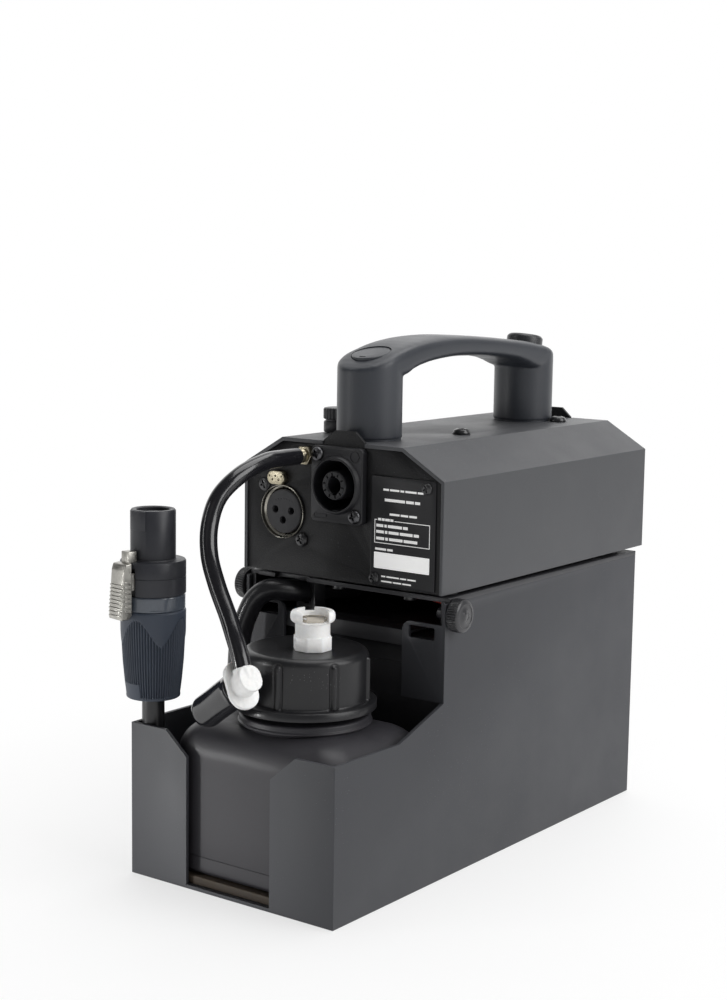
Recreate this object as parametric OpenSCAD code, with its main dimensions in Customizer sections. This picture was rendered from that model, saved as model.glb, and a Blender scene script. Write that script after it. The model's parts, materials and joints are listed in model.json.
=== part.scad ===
// Battery fog machine: a folded-steel lower case that carries a battery and a
// fluid bottle, and a fogging head with a carrying handle on top of it.
// Millimetres. +Z up, +Y from the connector end to the nozzle end, +X to the
// right as seen from the connector end. The origin is the middle of the base.

/* [Lower case] */
// Width over the side walls
case_w = 102; // [102:0.5:105]
// Length from the bottle end to the nozzle end
case_l = 227; // [227:0.5:230]
// Height of the battery bay's side walls
case_h = 112.2; // [111:0.1:112.2]
// Height of the low walls around the bottle
bay_h = 62.2; // [56:0.2:64]
// Height at which the wall step starts
step_h = 72.3; // [68:0.1:76]
// Sheet thickness
sheet = 1.5; // [1.2:0.1:1.5]
// Half width of the sight window's left side
window_l = 21.7; // [18:0.1:24]
// Half width of the sight window's right side
window_r = 20.4; // [18:0.1:24]

/* [Hood] */
// Width of the hood
hood_w = 101.2; // [101.2:0.1:102]
// Height of the hood's lower edge
hood_z0 = 115.8; // [115.5:0.1:116]
// Height where the side walls turn into the slanted shoulders
hood_z1 = 160.7; // [158:0.1:163]
// Height of the flat top
hood_z2 = 172.6; // [172.4:0.1:172.8]
// Width of the flat top
hood_top_w = 61; // [58:0.5:66]

/* [Battery] */
// Battery length
batt_l = 151; // [148:0.5:151]
// Battery width
batt_w = 98; // [94:0.5:98]
// Battery height without its tabs
batt_h = 94.5; // [92:0.5:94.5]

/* [Bottle] */
// Width of the bottle
bottle_w = 84.5; // [80:0.5:84.5]
// Depth of the bottle
bottle_d = 62.5; // [60:0.5:62.5]
// Radius of the bottle's edges
bottle_r = 12; // [10:0.5:13]
// Wall of the bottle
bottle_t = 1.6; // [1.2:0.1:2]
// Number of grip ribs on the cap
cap_ribs = 7; // [5:1:12]

/* [Connectors] */
// Diameter of the fluid hose
hose_d = 7; // [6:0.1:7]
// Diameter of the battery cable
cable_d = 9; // [8:0.1:9]
// Diameter of the battery plug's collar
plug_d = 26; // [24:0.1:26]

/* [Handle] */
// Diameter of the handle's posts
post_d = 27; // [25:0.5:27]
// Diameter of the fog button
button_d = 16.6; // [15:0.1:16.6]
// Travel of the fog button
button_travel = 2.5; // [1.5:0.1:2.5]

/* [Hidden] */
$fn = 64;

case_mid = 120;                 // distance from the case's rear face to the origin
wall_x = case_w / 2;            // outer face of a side wall
step_y = 70.4;                  // rear face of the battery bay
cut_y = 41;                     // where the side wall starts to rise
tray_z = case_h + 1.8;          // top of the chassis tray
hx = hood_w / 2;
hy0 = 68.4;                     // rear edge of the hood
hy1 = 233.7;                    // front edge of the hood
htx = hood_top_w / 2;
// inner outline of the hood: the slanted line moved in by the sheet thickness
sl_dx = hx - htx;
sl_dz = hood_z2 - hood_z1;
sl_n = sqrt(sl_dx * sl_dx + sl_dz * sl_dz);
in_x = hx - sheet;
in_z2 = hood_z2 - sheet;
in_px = hx - sheet * sl_dz / sl_n;
in_pz = hood_z1 - sheet * sl_dx / sl_n;
in_z1 = in_pz + (in_px - in_x) * sl_dz / sl_dx;
in_tx = in_px - (in_z2 - in_pz) * sl_dx / sl_dz;

cap_x = 8.2;                    // axis of the bottle's neck and cap
cap_y = 36.5;
coup_x = cap_x + 5.2;             // axis of the coupling, off the cap's middle
coup_y = cap_y - 2.4;
coup_turn = -42;                // direction of the coupling's open front
bottle_x0 = -36;                // left face of the bottle
bottle_y0 = 4.2;                // rear face of the bottle
bottle_z0 = 5;
bottle_top = 66;
pitch_rise = 4.5;               // rise of the cap when it is unscrewed

plug_x = -44.9;
plug_y = 6.2;
plug_lift = 1.7;
fit_x = -17.5;                  // hose fitting
fit_z = 166;
pump_x = -2;
pump_z = 132;
heat_z = 138;
knob_x = -24;
knob_y = 98;
post_y0 = 87.5;
post_y1 = 207.5;
button_tilt = 10;
cover_tilt = 14;

// Route of the battery cable, from inside the battery bay to the plug
cable_route = [
  [-18, 104, 106.5], [-21, 93, 106.5], [-24.5, 82, 106.5], [-28, 72, 108],
  [-33.5, 65, 108.5], [-38.5, 62, 105], [-42, 60.5, 98], [-44.5, 59, 88],
  [-44.9, 58, 76], [-44.9, 57.5, 62], [-44.9, 56.5, 48], [-44.9, 52, 33],
  [-44.9, 42.5, 21.5], [-44.9, 30, 17.5], [-44.9, 17.5, 22.5],
  [-44.9, 9, 35], [-44.9, 6.5, 48], [-44.9, 6.2, 60], [-44.9, 6.2, 72.7]
];
// Route of the fluid hose, from the fitting to the elbow
hose_route = [
  [-17.5, 62, 166], [-17.5, 52, 166], [-17.5, 42, 165.5], [-18.5, 28, 161.5],
  [-21, 18, 153.5], [-21, 12.5, 143], [-17.5, 8.5, 132], [-11, 5.5, 121.5],
  [-3, 2.5, 111.5], [2.5, 0, 104.5], [7, -1.8, 97.8], [9.3, -2.7, 93.1]
];
// Frame of the elbow: middle of its body, and the direction of its nose
elbow_p = [11.2, -3.5, 88.9];
nose_a = [6.9, -1.8, 86.1];       // where the nose leaves the flange
nose_b = [-15.6, 5.5, 71.5];      // middle of the nose cap's dome

// ---------------------------------------------------------------- helpers

// Moves a piece drawn from the case's rear face to the assembly's origin.
module seat() { translate([0, -case_mid, 0]) children(); }

// Sheet in the YZ plane, from x to x + t.
module side_sheet(x, t, pts) {
  translate([x, 0, 0]) rotate([90, 0, 90]) linear_extrude(t) polygon(pts);
}

// Sheet in the XZ plane, from y to y + t, of a 2D child.
module cross_sheet(y, t) {
  translate([0, y + t, 0]) rotate([90, 0, 0]) linear_extrude(t) children();
}

// Cylinder along +Y from y.
module ycyl(x, y, z, r, h) {
  translate([x, y, z]) rotate([-90, 0, 0]) cylinder(r = r, h = h);
}

// Cylinder along +X from x.
module xcyl(x, y, z, r, h) {
  translate([x, y, z]) rotate([0, 90, 0]) cylinder(r = r, h = h);
}

// Rounded rectangle about the origin.
module rrect(w, h, r) {
  square([w - 2 * r, h], center = true);
  square([w, h - 2 * r], center = true);
  for (i = [-1, 1]) for (j = [-1, 1])
    translate([i * (w / 2 - r), j * (h / 2 - r)]) circle(r = r);
}

// Places a child, drawn along +Z from the origin, along the line a to b.
module along(a, b) {
  v = b - a;
  translate(a)
    rotate([0, acos(v[2] / norm(v)), atan2(v[1], v[0])]) children();
}

function unit(v) = v / norm(v);
function run(p, i) =
  unit(i == 0 ? p[1] - p[0] : i == len(p) - 1 ? p[i] - p[i - 1] : p[i + 1] - p[i - 1]);
function across(t, n) = unit(n - t * (n * t));
function frames(p, i, acc) =
  i == len(p) ? acc : frames(p, i + 1, concat(acc, [across(run(p, i), acc[i - 1])]));
function first_normal(t) =
  across(t, abs(t[2]) < 0.8 ? [0, 0, 1] : [1, 0, 0]);

// Point between b and c of a smooth curve through a, b, c and d.
function mid_point(a, b, c, d, u) = 0.5 * (
  2 * b + (c - a) * u + (2 * a - 5 * b + 4 * c - d) * u * u
  + (3 * b - 3 * c + d - a) * u * u * u);
// Smooth curve through the points of a route, k steps to a span.
function smooth(p, k) = concat(
  [for (i = [0 : len(p) - 2]) for (j = [0 : k - 1])
    mid_point(p[max(i - 1, 0)], p[i], p[i + 1], p[min(i + 2, len(p) - 1)], j / k)],
  [p[len(p) - 1]]);

// Round tube that follows a list of points.
module sweep(p, r, sides) {
  n = len(p);
  ns = frames(p, 1, [first_normal(run(p, 0))]);
  pts = [for (i = [0 : n - 1]) let (t = run(p, i), a = ns[i], b = cross(t, a))
    for (j = [0 : sides - 1]) let (g = 360 * j / sides)
      p[i] + r * (cos(g) * a + sin(g) * b)];
  sides_f = [for (i = [0 : n - 2]) for (j = [0 : sides - 1])
    let (k = (j + 1) % sides, a = i * sides + j, b = i * sides + k)
      each [[a, b, b + sides], [a, b + sides, a + sides]]];
  end0 = [for (j = [0 : sides - 1]) j];
  end1 = [for (j = [0 : sides - 1]) n * sides - 1 - j];
  polyhedron(
    points = pts,
    faces = concat([for (f = sides_f) [f[2], f[1], f[0]]], [end0], [end1]));
}

// ---------------------------------------------------------------- lower case

side_outline = [
  [0, 0], [case_l, 0], [case_l, case_h], [step_y, case_h], [step_y, step_h],
  [cut_y, bay_h], [0, bay_h]
];

module flange_outline() {
  // turned-in edge of a side wall beside the battery, with a strap slot
  x0 = 30.3;
  difference() {
    union() {
      translate([x0 + 4, step_h]) square([wall_x - x0 - 4, 103.5 - step_h]);
      translate([x0, step_h]) square([8, 103.5 - step_h - 4]);
      translate([x0 + 4, 99.5]) circle(r = 4);
    }
    translate([39.75, 99.5]) rrect(12.5, 5, 0.8);
  }
}

module lower_case() color("#3b3c40") seat() difference() {
  union() {
    translate([-wall_x, 0, 0]) cube([case_w, case_l, sheet]);
    side_sheet(-wall_x, sheet, side_outline);
    side_sheet(wall_x - sheet, sheet, side_outline);
    // rear posts beside the sight window
    cross_sheet(0, sheet) polygon([
      [-wall_x, 0], [-window_l, 0], [-window_l, bay_h - 9.2],
      [-window_l - 11.1, bay_h], [-wall_x, bay_h]]);
    cross_sheet(0, sheet) polygon([
      [wall_x, 0], [window_r, 0], [window_r, bay_h - 10.2],
      [window_r + 12, bay_h], [wall_x, bay_h]]);
    // front wall
    translate([-wall_x, case_l - sheet, 0]) cube([case_w, sheet, case_h]);
    // turned-in edges
    for (s = [0, 1]) mirror([s, 0, 0]) cross_sheet(step_y, sheet) flange_outline();
  }
  // clearance holes of the four thumbscrews
  xcyl(-wall_x - 2, 75.5, 107.5, 2.7, case_w + 4);
  for (x = [-40, 40]) ycyl(x, case_l - 4, 104, 2.7, 8);
}

module retainer_bar() color("#2c2c30") seat() {
  translate([-33, step_y + sheet, 92.6]) cube([66, 1.2, 6.4]);
  translate([-33, step_y + sheet, 97.8]) cube([66, 12, 1.2]);
}

// ---------------------------------------------------------------- battery

module battery_pad() color("#1c1c1c") seat()
  translate([-47, 76, sheet]) cube([94, 146, 1]);

module battery() color("#26272a") seat() {
  y0 = step_y + sheet + 1.5;
  difference() {
    union() {
      translate([0, y0 + batt_l / 2, sheet + 1])
        linear_extrude(batt_h - 12) rrect(batt_w, batt_l, 2.5);
      // lid, a little narrower than the box
      translate([0, y0 + batt_l / 2, sheet + 1 + batt_h - 12])
        linear_extrude(12) rrect(batt_w - 1.2, batt_l - 1.2, 2.5);
    }
    // recess around each tab
    for (x = [-38, 38])
      translate([x - 7, 86, sheet + 1 + batt_h - 6]) cube([14, 14, 10]);
  }
}

module battery_terminals() color("#b9b4a4") seat()
  for (x = [-38, 38]) {
    z = sheet + 1 + batt_h - 6;
    translate([x - 5, 88, z]) cube([10, 9, 1.5]);
    translate([x - 3.2, 92, z + 1.5]) cube([6.4, 0.8, 8]);
  }

module battery_leads() color("#a02020") seat() {
  sweep(smooth([[-16, 105.5, 107.8], [-8, 110, 107.5], [12, 110, 106],
    [30, 104, 104.5], [37, 100, 102.5], [38, 95, 98.5]], 3), 1.5, 8);
  sweep(smooth([[-19.5, 105.5, 105], [-26, 108, 104.5], [-35, 104.5, 104],
    [-37.6, 100, 102.5], [-38, 95, 98.5]], 3), 1.5, 8);
}

module cable_clip() color("#19191b") seat()
  translate([-24.7, 81.2, 0]) rotate([0, 0, -18.4]) difference() {
    translate([-7, -2.6, 99.05]) cube([14, 5.2, 12.4]);
    translate([0, -4, 106.5]) rotate([-90, 0, 0]) cylinder(r = cable_d / 2 + 0.25, h = 8);
  }

module battery_cable() color("#101012") seat()
  sweep(smooth(cable_route, 3), cable_d / 2, 12);

// ---------------------------------------------------------------- battery plug

module plug_at() seat() translate([plug_x, plug_y, plug_lift]) children();

module plug_bushing() color("#343b45") plug_at() difference() {
  rotate_extrude() polygon([
    [0, 71], [9.6, 71], [10.6, 72], [11.4, 78], [12.2, 86], [12.9, 98],
    [13, 105.6], [12.6, 106.6], [0, 106.6]]);
  // cable entry
  translate([0, 0, 70]) cylinder(r = cable_d / 2 + 0.1, h = 1);
}

module plug_ring() color("#6d7480") plug_at()
  translate([0, 0, 106.6]) cylinder(r = plug_d / 2 - 0.2, h = 6.1);

module plug_body() color("#3a414c") plug_at() difference() {
  union() {
    translate([0, 0, 112.7]) cylinder(r = plug_d / 2, h = 13.6);
    translate([0, 0, 125]) cylinder(r = 8.95, h = 21.2);
    // raised key on the nose
    rotate([0, 0, -94]) intersection() {
      translate([7, -4.4, 138.4]) cube([4, 8.8, 7.8]);
      translate([0, 0, 138.4]) cylinder(r = 9.3, h = 7.8);
    }
  }
  // socket in the nose
  translate([0, 0, 131]) cylinder(r = 6.6, h = 20);
  // channel of the latch lever
  rotate([0, 0, 260]) translate([11.3, -4.6, 111]) cube([6, 9.2, 13]);
  rotate([0, 0, 260]) translate([9.3, -2.8, 121]) cube([8, 5.6, 8]);
}

module plug_latch() color("#b8bac0") plug_at() rotate([0, 0, 260]) {
  translate([11.5, -4.3, 115.4]) cube([2.6, 8.6, 7]);
  translate([0, 4.3, 0]) rotate([90, 0, 0]) linear_extrude(8.6) polygon([
    [13.2, 105.6], [14.6, 104.2], [18.3, 104.2], [18, 110], [17.4, 118],
    [17, 123.8], [16.2, 126], [13.2, 126.3]]);
  translate([9.6, -2.5, 123.9]) cube([4, 5, 6.6]);
}

// ---------------------------------------------------------------- bottle

module bottle_mat() color("#5a4a34") seat()
  translate([bottle_x0 + 1, 2.2, sheet]) cube([bottle_w - 2, 64, bottle_z0 - sheet]);

// Solid with a flat foot and rounded shoulders, inset from the bottle by i.
module bottle_form(i) {
  r = bottle_r - i;
  x0 = bottle_x0 + i; x1 = bottle_x0 + bottle_w - i;
  y0 = bottle_y0 + i; y1 = bottle_y0 + bottle_d - i;
  translate([(x0 + x1) / 2, (y0 + y1) / 2, bottle_z0 + i])
    linear_extrude(bottle_top - bottle_r - bottle_z0 - i)
      rrect(x1 - x0, y1 - y0, r);
  hull() for (x = [x0 + r, x1 - r]) for (y = [y0 + r, y1 - r])
    translate([x, y, bottle_top - bottle_r]) sphere(r = r, $fn = 32);
}

module bottle() color("#2b2b2e") seat() difference() {
  union() {
    bottle_form(0);
    translate([cap_x, cap_y, bottle_top - 3]) cylinder(r = 19, h = 26);
    // transfer ring under the cap, and the cone that carries it
    translate([cap_x, cap_y, bottle_top - 4]) cylinder(r1 = 21.6, r2 = 26, h = 4.4);
    translate([cap_x, cap_y, bottle_top + 0.4]) cylinder(r = 26, h = 2.8);
  }
  bottle_form(bottle_t);
  translate([cap_x, cap_y, bottle_top - 6]) cylinder(r = 16.8, h = 30);
}

module cap_seal() color("#7d7668") seat() difference() {
  translate([cap_x, cap_y, bottle_top + 23]) cylinder(r = 18.9, h = 2.6);
  translate([cap_x, cap_y, bottle_top + 22]) cylinder(r = 14, h = 4);
}

module bottle_cap() color("#242427") seat() translate([cap_x, cap_y, 0]) difference() {
  union() {
    translate([0, 0, 71.5]) cylinder(r = 28.2, h = 3.5);
    translate([0, 0, 71.5]) cylinder(r = 24.9, h = 20.5);
    translate([0, 0, 92]) rotate_extrude() intersection() {
      translate([0, -3]) square([24.9, 6]);
      union() { square([21.9, 3]); translate([21.9, 0]) circle(r = 3); }
    }
    for (i = [0 : cap_ribs - 1]) rotate([0, 0, -77 + 360 / cap_ribs * i])
      translate([24.7, 0, 73]) cylinder(r = 1, h = 18.6, $fn = 24);
  }
  translate([0, 0, 70]) cylinder(r = 19.08, h = 21.8);
  translate([coup_x - cap_x, coup_y - cap_y, 90]) cylinder(r = 5.25, h = 6);
}

module coupling_body() color("#e9e9e6") seat() translate([coup_x, coup_y, 0]) difference() {
  union() {
    // stub through the cap, its nut, and the spigot for the dip tube
    translate([0, 0, 84]) cylinder(r = 5.2, h = 12);
    translate([0, 0, 88.6]) cylinder(r = 7.6, h = 3.1, $fn = 6);
    translate([0, 0, 77]) cylinder(r = 1.95, h = 8);
    // eight-sided seat, barrel and collar
    translate([0, 0, 95]) rotate([0, 0, 22.5]) cylinder(r = 7.8, h = 5.8, $fn = 8);
    translate([0, 0, 99.8]) rotate_extrude() polygon([
      [0, 0], [6.85, 0], [6.85, 6.3], [8.2, 6.9], [8.8, 8], [8.7, 9.6],
      [7.7, 10.85], [0, 10.85]]);
  }
  // bore for the hose insert
  translate([0, 0, 98]) cylinder(r = 4, h = 20);
  // hollow of the collar with its open front, and the slot opposite it
  rotate([0, 0, coup_turn]) translate([0, 0, 106.7]) linear_extrude(8) {
    circle(r = 6.3);
    translate([3.5, -5.2]) square([8, 10.4]);
  }
  rotate([0, 0, coup_turn + 180]) translate([3, -2.1, 109]) cube([8, 4.2, 4]);
  // passage to the dip tube
  translate([0, 0, 76]) cylinder(r = 1.2, h = 24);
}

module coupling_latch() color("#b7b3aa") seat() translate([coup_x, coup_y, 0])
  rotate([0, 0, coup_turn]) difference() {
    union() {
      translate([0.6, 0, 106.9]) cylinder(r = 5.6, h = 0.9);
      translate([5.3, -3.4, 106.9]) cube([0.9, 6.8, 2.4]);
    }
    translate([0.6, 0, 106.4]) cylinder(r = 4.7, h = 3);
  }

module dip_tube() color("#d9d9d2") seat() translate([coup_x, coup_y, 10]) difference() {
  cylinder(r = 3, h = 74);
  translate([0, 0, -1]) cylinder(r = 2, h = 76);
}

module dip_filter() color("#c9b98a") seat() translate([coup_x, coup_y, 7.6]) difference() {
  cylinder(r = 5.5, h = 9);
  translate([0, 0, 2.4]) cylinder(r = 3.04, h = 10);
}

// ---------------------------------------------------------------- head chassis

lip_screws = [[-43, 84], [43, 84], [-43, 216], [43, 216],
  [-8, 79], [28, 79], [-28, 221.5], [28, 221.5]];

module chassis_tray() color("#2e2f33") seat() difference() {
  union() {
    translate([-wall_x, 73.5, case_h]) cube([case_w, case_l - 73.5, 1.8]);
    // pads that carry the hood and the two panels
    for (p = lip_screws)
      translate([p[0], p[1], tray_z - 0.5]) cylinder(r = 4, h = 0.5 + hood_z0 - tray_z);
    // ears inside the lower case, one for each thumbscrew
    for (s = [0, 1]) mirror([s, 0, 0]) difference() {
      translate([wall_x - 3.5, 72.4, 99.5]) cube([sheet, 12, case_h - 99]);
      xcyl(wall_x - 6, 75.5, 107.5, 2.45, 8);
    }
    for (x = [-40, 40]) difference() {
      translate([x - 7, case_l - 3.5, 98]) cube([14, sheet, case_h - 97.5]);
      ycyl(x, case_l - 8, 104, 2.45, 8);
    }
  }
  // notch for the battery cable
  translate([-38, hy0 - 1, case_h - 1]) cube([17, 8.6, 4]);
  for (p = lip_screws) translate([p[0], p[1], case_h - 1]) cylinder(r = 1.6, h = 8);
}

module chassis_screws() color("#8f9298") seat() for (p = lip_screws)
  translate([p[0], p[1], 0]) {
    translate([0, 0, case_h - 2]) cylinder(r = 2.8, h = 2);
    translate([0, 0, case_h - 1]) cylinder(r = 1.5, h = 9);
    translate([0, 0, hood_z0 + sheet]) cylinder(r = 2.8, h = 2.2, $fn = 6);
  }

module hood_outline() polygon([
  [-hx, hood_z0], [hx, hood_z0], [hx, hood_z1], [htx, hood_z2],
  [-htx, hood_z2], [-hx, hood_z1]]);

module hood() color("#45464a") seat() difference() {
  union() {
    difference() {
      cross_sheet(hy0, hy1 - hy0) hood_outline();
      cross_sheet(hy0 - 1, hy1 - hy0 + 2) polygon([
        [-in_x, hood_z0 - 1], [in_x, hood_z0 - 1], [in_x, in_z1],
        [in_tx, in_z2], [-in_tx, in_z2], [-in_x, in_z1]]);
    }
    // turned-in lower edges
    for (s = [0, 1]) mirror([s, 0, 0])
      translate([38, 73, hood_z0]) cube([hx - 38.5, 156, sheet]);
  }
  for (y = [post_y0, post_y1])
    translate([0, y, in_z2 - 1]) cylinder(r = 3.3, h = 5);
  for (y = [130.6, 211])
    translate([17, y, in_z2 - 1]) cylinder(r = 2.2, h = 5);
  translate([knob_x, knob_y, in_z2 - 1]) cylinder(r = 3.7, h = 5);
  // notches for the tabs of the two panels
  translate([-9.6, hy0 - 1, in_z2 - 0.5]) cube([21.4, 3.2, 4]);
  translate([-9.6, hy1 - 2.2, in_z2 - 0.5]) cube([21.4, 3.2, 4]);
  for (p = lip_screws) translate([p[0], p[1], hood_z0 - 1]) cylinder(r = 1.65, h = 4);
}

module panel_outline() {
  g = 0.15;
  polygon([
    [-in_x + g, hood_z0], [in_x - g, hood_z0], [in_x - g, in_z1 - g],
    [in_tx, in_z2 - g], [11.4, in_z2 - g], [11.4, 173], [6.7, 177.2],
    [-3.2, 177.2], [-9.2, 173], [-9.2, in_z2 - g], [-in_tx, in_z2 - g],
    [-in_x + g, in_z1 - g]]);
}

module rear_panel() color("#232328") seat() difference() {
  union() {
    cross_sheet(hy0 + 0.5, sheet) panel_outline();
    translate([-34, hy0 + 0.5, hood_z0]) cube([68, 16, sheet]);
  }
  // connector, fitting and screw holes
  ycyl(-30, 60, 141.5, 10.9, 20);
  ycyl(0, 60, 155.4, 12, 20);
  ycyl(fit_x, 60, fit_z, 3.1, 20);
  translate([-32.2, 76, 155.6]) rotate([90, 0, 0]) linear_extrude(12) rrect(9.1, 5.7, 2.75);
  for (p = [[-40, 152.1], [-20, 130.7], [-9.5, 167.4], [9.5, 143.4]])
    ycyl(p[0], 60, p[1], 1.7, 20);
  for (p = [[42.8, 157.4], [17.8, 119.3]]) ycyl(p[0], 60, p[1], 1.3, 20);
  for (p = lip_screws) translate([p[0], p[1], hood_z0 - 1]) cylinder(r = 1.65, h = 4);
}

module front_panel() color("#232328") seat() difference() {
  union() {
    cross_sheet(hy1 - 0.5 - sheet, sheet) panel_outline();
    for (x = [-35, 22]) translate([x, 218.5, hood_z0]) cube([13, hy1 - 219, sheet]);
  }
  ycyl(0, 225, heat_z, 9.25, 20);
  // cooling slots
  for (s = [-1, 1]) for (i = [0 : 4])
    translate([s * 27, 240, 128 + 6 * i]) rotate([90, 0, 0])
      linear_extrude(20) rrect(18, 2.4, 1.1);
  for (p = lip_screws) translate([p[0], p[1], hood_z0 - 1]) cylinder(r = 1.65, h = 4);
}

// ---------------------------------------------------------------- rear fittings

module label_plate() color("#1c1c20") seat() difference() {
  translate([0, hy0 + 0.5, 0]) rotate([90, 0, 0]) linear_extrude(0.8)
    translate([31.3, 138.55]) rrect(31.4, 44.1, 0.8);
  for (p = [[42.8, 157.4], [17.8, 119.3]]) ycyl(p[0], 60, p[1], 1.3, 20);
}

// Pan head screw along +Y: head from y - k to y, shank to y + l.
module pan_y(x, z, y, r, k, s, l) {
  translate([x, y, z]) rotate([90, 0, 0]) difference() {
    rotate_extrude() polygon([
      [0, -l], [s, -l], [s, 0], [r, 0], [r, k * 0.45], [r * 0.86, k * 0.8],
      [r * 0.55, k], [0, k]]);
    for (a = [20, 110]) rotate([0, 0, a])
      translate([-r * 0.55, -0.4, k * 0.4]) cube([r * 1.1, 0.8, k]);
  }
}

module label_screws() color("#17171a") seat()
  for (p = [[42.8, 157.4], [17.8, 119.3]]) pan_y(p[0], p[1], hy0 - 0.3, 2.4, 1.2, 1.2, 5);

module xlr_shell() color("#c9ccd2") seat() difference() {
  union() {
    ycyl(-30, hy0 - 0.6, 141.5, 11.2, 1.1);
    ycyl(-30, hy0 + 0.5, 141.5, 10.8, 21);
  }
  ycyl(-30, hy0 - 1, 141.5, 9.7, 16);
}

module xlr_insert() color("#5b5d64") seat() difference() {
  union() {
    ycyl(-30, hy0 + 0.4, 141.5, 9.2, 14.6);
    ycyl(-30, hy0 + 13, 141.5, 9.6, 2);
  }
  for (p = [[-34.2, 142.1], [-25.9, 142], [-30.2, 137.9]])
    ycyl(p[0], hy0 - 1, p[1], 1.25, 14);
}

module xlr_latch() color("#bfb79a") seat()
  translate([-32.2, hy0 + 3.6, 155.6]) rotate([90, 0, 0])
    linear_extrude(5.8) rrect(9, 5.6, 2.7);

module xlr_screws() color("#17171a") seat() {
  pan_y(-40, 152.1, hy0 + 0.5, 2.9, 1.1, 1.6, 9);
  pan_y(-20, 130.7, hy0 + 0.5, 2.9, 1.5, 1.6, 9);
}

module power_socket() color("#222226") seat() difference() {
  union() {
    translate([0, hy0 + 0.5, 155.4]) rotate([90, 0, 0]) linear_extrude(3.3) rrect(26, 31, 2.2);
    translate([0, hy0 - 4.8, 155.4]) rotate([-90, 0, 0]) cylinder(r1 = 11.3, r2 = 12, h = 2.6);
    ycyl(0, hy0 + 0.5, 155.4, 11.9, 26);
  }
  // ring-shaped socket around the core
  difference() {
    ycyl(0, hy0 - 6, 155.4, 10.5, 26);
    ycyl(0, hy0 - 7, 155.4, 6, 28);
  }
  ycyl(0, hy0 - 6, 155.4, 3.2, 20);
  for (p = [[-9.5, 167.4], [9.5, 143.4]]) ycyl(p[0], 60, p[1], 1.7, 12);
}

module power_contacts() color("#c8b26a") seat() for (x = [-5, 5])
  translate([x - 0.4, hy0 + 26.5, 152.4]) cube([0.8, 7, 6]);

module socket_screws() color("#a9adb3") seat()
  for (p = [[-9.5, 167.4], [9.5, 143.4]]) pan_y(p[0], p[1], hy0 - 2.8, 2.9, 1.7, 1.6, 13);

module hose_fitting() color("#b9a884") seat() difference() {
  union() {
    ycyl(fit_x, hy0 - 6.4, fit_z, 2.6, 6);
    translate([fit_x, hy0 - 2.6, fit_z]) rotate([-90, 0, 0]) cylinder(r = 4.1, h = 3.1, $fn = 6);
    ycyl(fit_x, hy0 + 0.4, fit_z, 3, 7);
    translate([fit_x, hy0 + 2.05, fit_z]) rotate([-90, 0, 0]) cylinder(r = 4.6, h = 2.4, $fn = 6);
    ycyl(fit_x, hy0 + 7, fit_z, 1.9, 4);
  }
  ycyl(fit_x, 60, fit_z, 1.1, 30);
}

module feed_tubes() color("#e4e4dc") seat() {
  sweep(smooth([[fit_x, hy0 + 11.2, fit_z], [-16, 87, 165.5], [-11, 97, 162.5],
    [-5, 106, 157.5], [-2.4, 109.5, 153.5], [-2, 110, 150.1]], 2), 2.3, 10);
  ycyl(pump_x, 141.1, pump_z, 2.3, 5.8);
}

module fluid_hose() color("#0e0e10") seat()
  sweep(smooth(hose_route, 3), hose_d / 2, 12);

module hose_elbow() color("#ececea") seat() {
  d = unit(nose_b - nose_a);
  // socket that takes the hose
  along([9.1, -2.65, 93.5], elbow_p) cylinder(r = 4.2, h = 4);
  // body
  translate(elbow_p) sphere(r = 4.9, $fn = 40);
  along(elbow_p, nose_a) cylinder(r = 4, h = norm(nose_a - elbow_p) - 0.5);
  // flange and nose
  along(nose_a - 2 * d, nose_b) rotate([0, 0, 180]) linear_extrude(2) rrect(19.4, 13.4, 6.6);
  along(nose_a - 1.2 * d, nose_b) cylinder(r = 3.2, h = 17.2);
}

module nose_cap() color("#0c0c0e") seat() along(nose_a, nose_b) difference() {
  h = norm(nose_b - nose_a);
  rotate_extrude() intersection() {
    square([6.7, h + 7]);
    union() { translate([0, 0.05]) square([6.7, h]); translate([0, h]) circle(r = 6.7); }
  }
  translate([0, 0, -1]) cylinder(r = 3.3, h = 18);
}

// ---------------------------------------------------------------- handle

// [y, top, underside] of the grip at stations along it
grip = [
  [74.1, 201.4, 199.2], [75.2, 202.3, 198.9], [77.5, 203.6, 198.5], [81, 205.3, 198.2],
  [87.5, 208, 198], [94, 209.8, 198], [98, 210.8, 198.8], [101, 211.4, 200.3],
  [106, 212.2, 201.8], [114, 213.1, 203.3], [124, 213.7, 204.4], [135, 213.9, 205],
  [146, 213.6, 204.9], [158, 212.9, 204.4], [170, 212, 203.5], [182, 211, 202],
  [190, 210.3, 200], [194, 209.9, 198.5], [200, 209.1, 197], [207.5, 207.9, 197],
  [213, 206.4, 197], [216.8, 204.9, 197.5], [219.4, 203.5, 198], [220.9, 202.2, 198.5]
];
function grip_w(y) =
  let (r = post_d / 2, e = y < post_y0 ? post_y0 - y : y > post_y1 ? y - post_y1 : 0)
    e == 0 ? r : sqrt(max(r * r - e * e, 0.6));
function round_box(w, z0, z1, n) = [for (j = [0 : n - 1]) let (a = 360 * j / n + 7.5,
  c = cos(a), s = sin(a), m = (z0 + z1) / 2, h = (z1 - z0) / 2)
    [w * sign(c) * pow(abs(c), 0.62), m + h * sign(s) * pow(abs(s), 0.62)]];

module grip_form() {
  n = 24;
  k = len(grip);
  pts = [for (g = grip) for (q = round_box(grip_w(g[0]), g[2], g[1], n)) [q[0], g[0], q[1]]];
  f = [for (i = [0 : k - 2]) for (j = [0 : n - 1])
    let (m = (j + 1) % n, a = i * n + j, b = i * n + m)
      each [[a, b, b + n], [a, b + n, a + n]]];
  polyhedron(points = pts, faces = concat(f,
    [[for (j = [0 : n - 1]) n - 1 - j]], [[for (j = [0 : n - 1]) (k - 1) * n + j]]));
}

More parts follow.
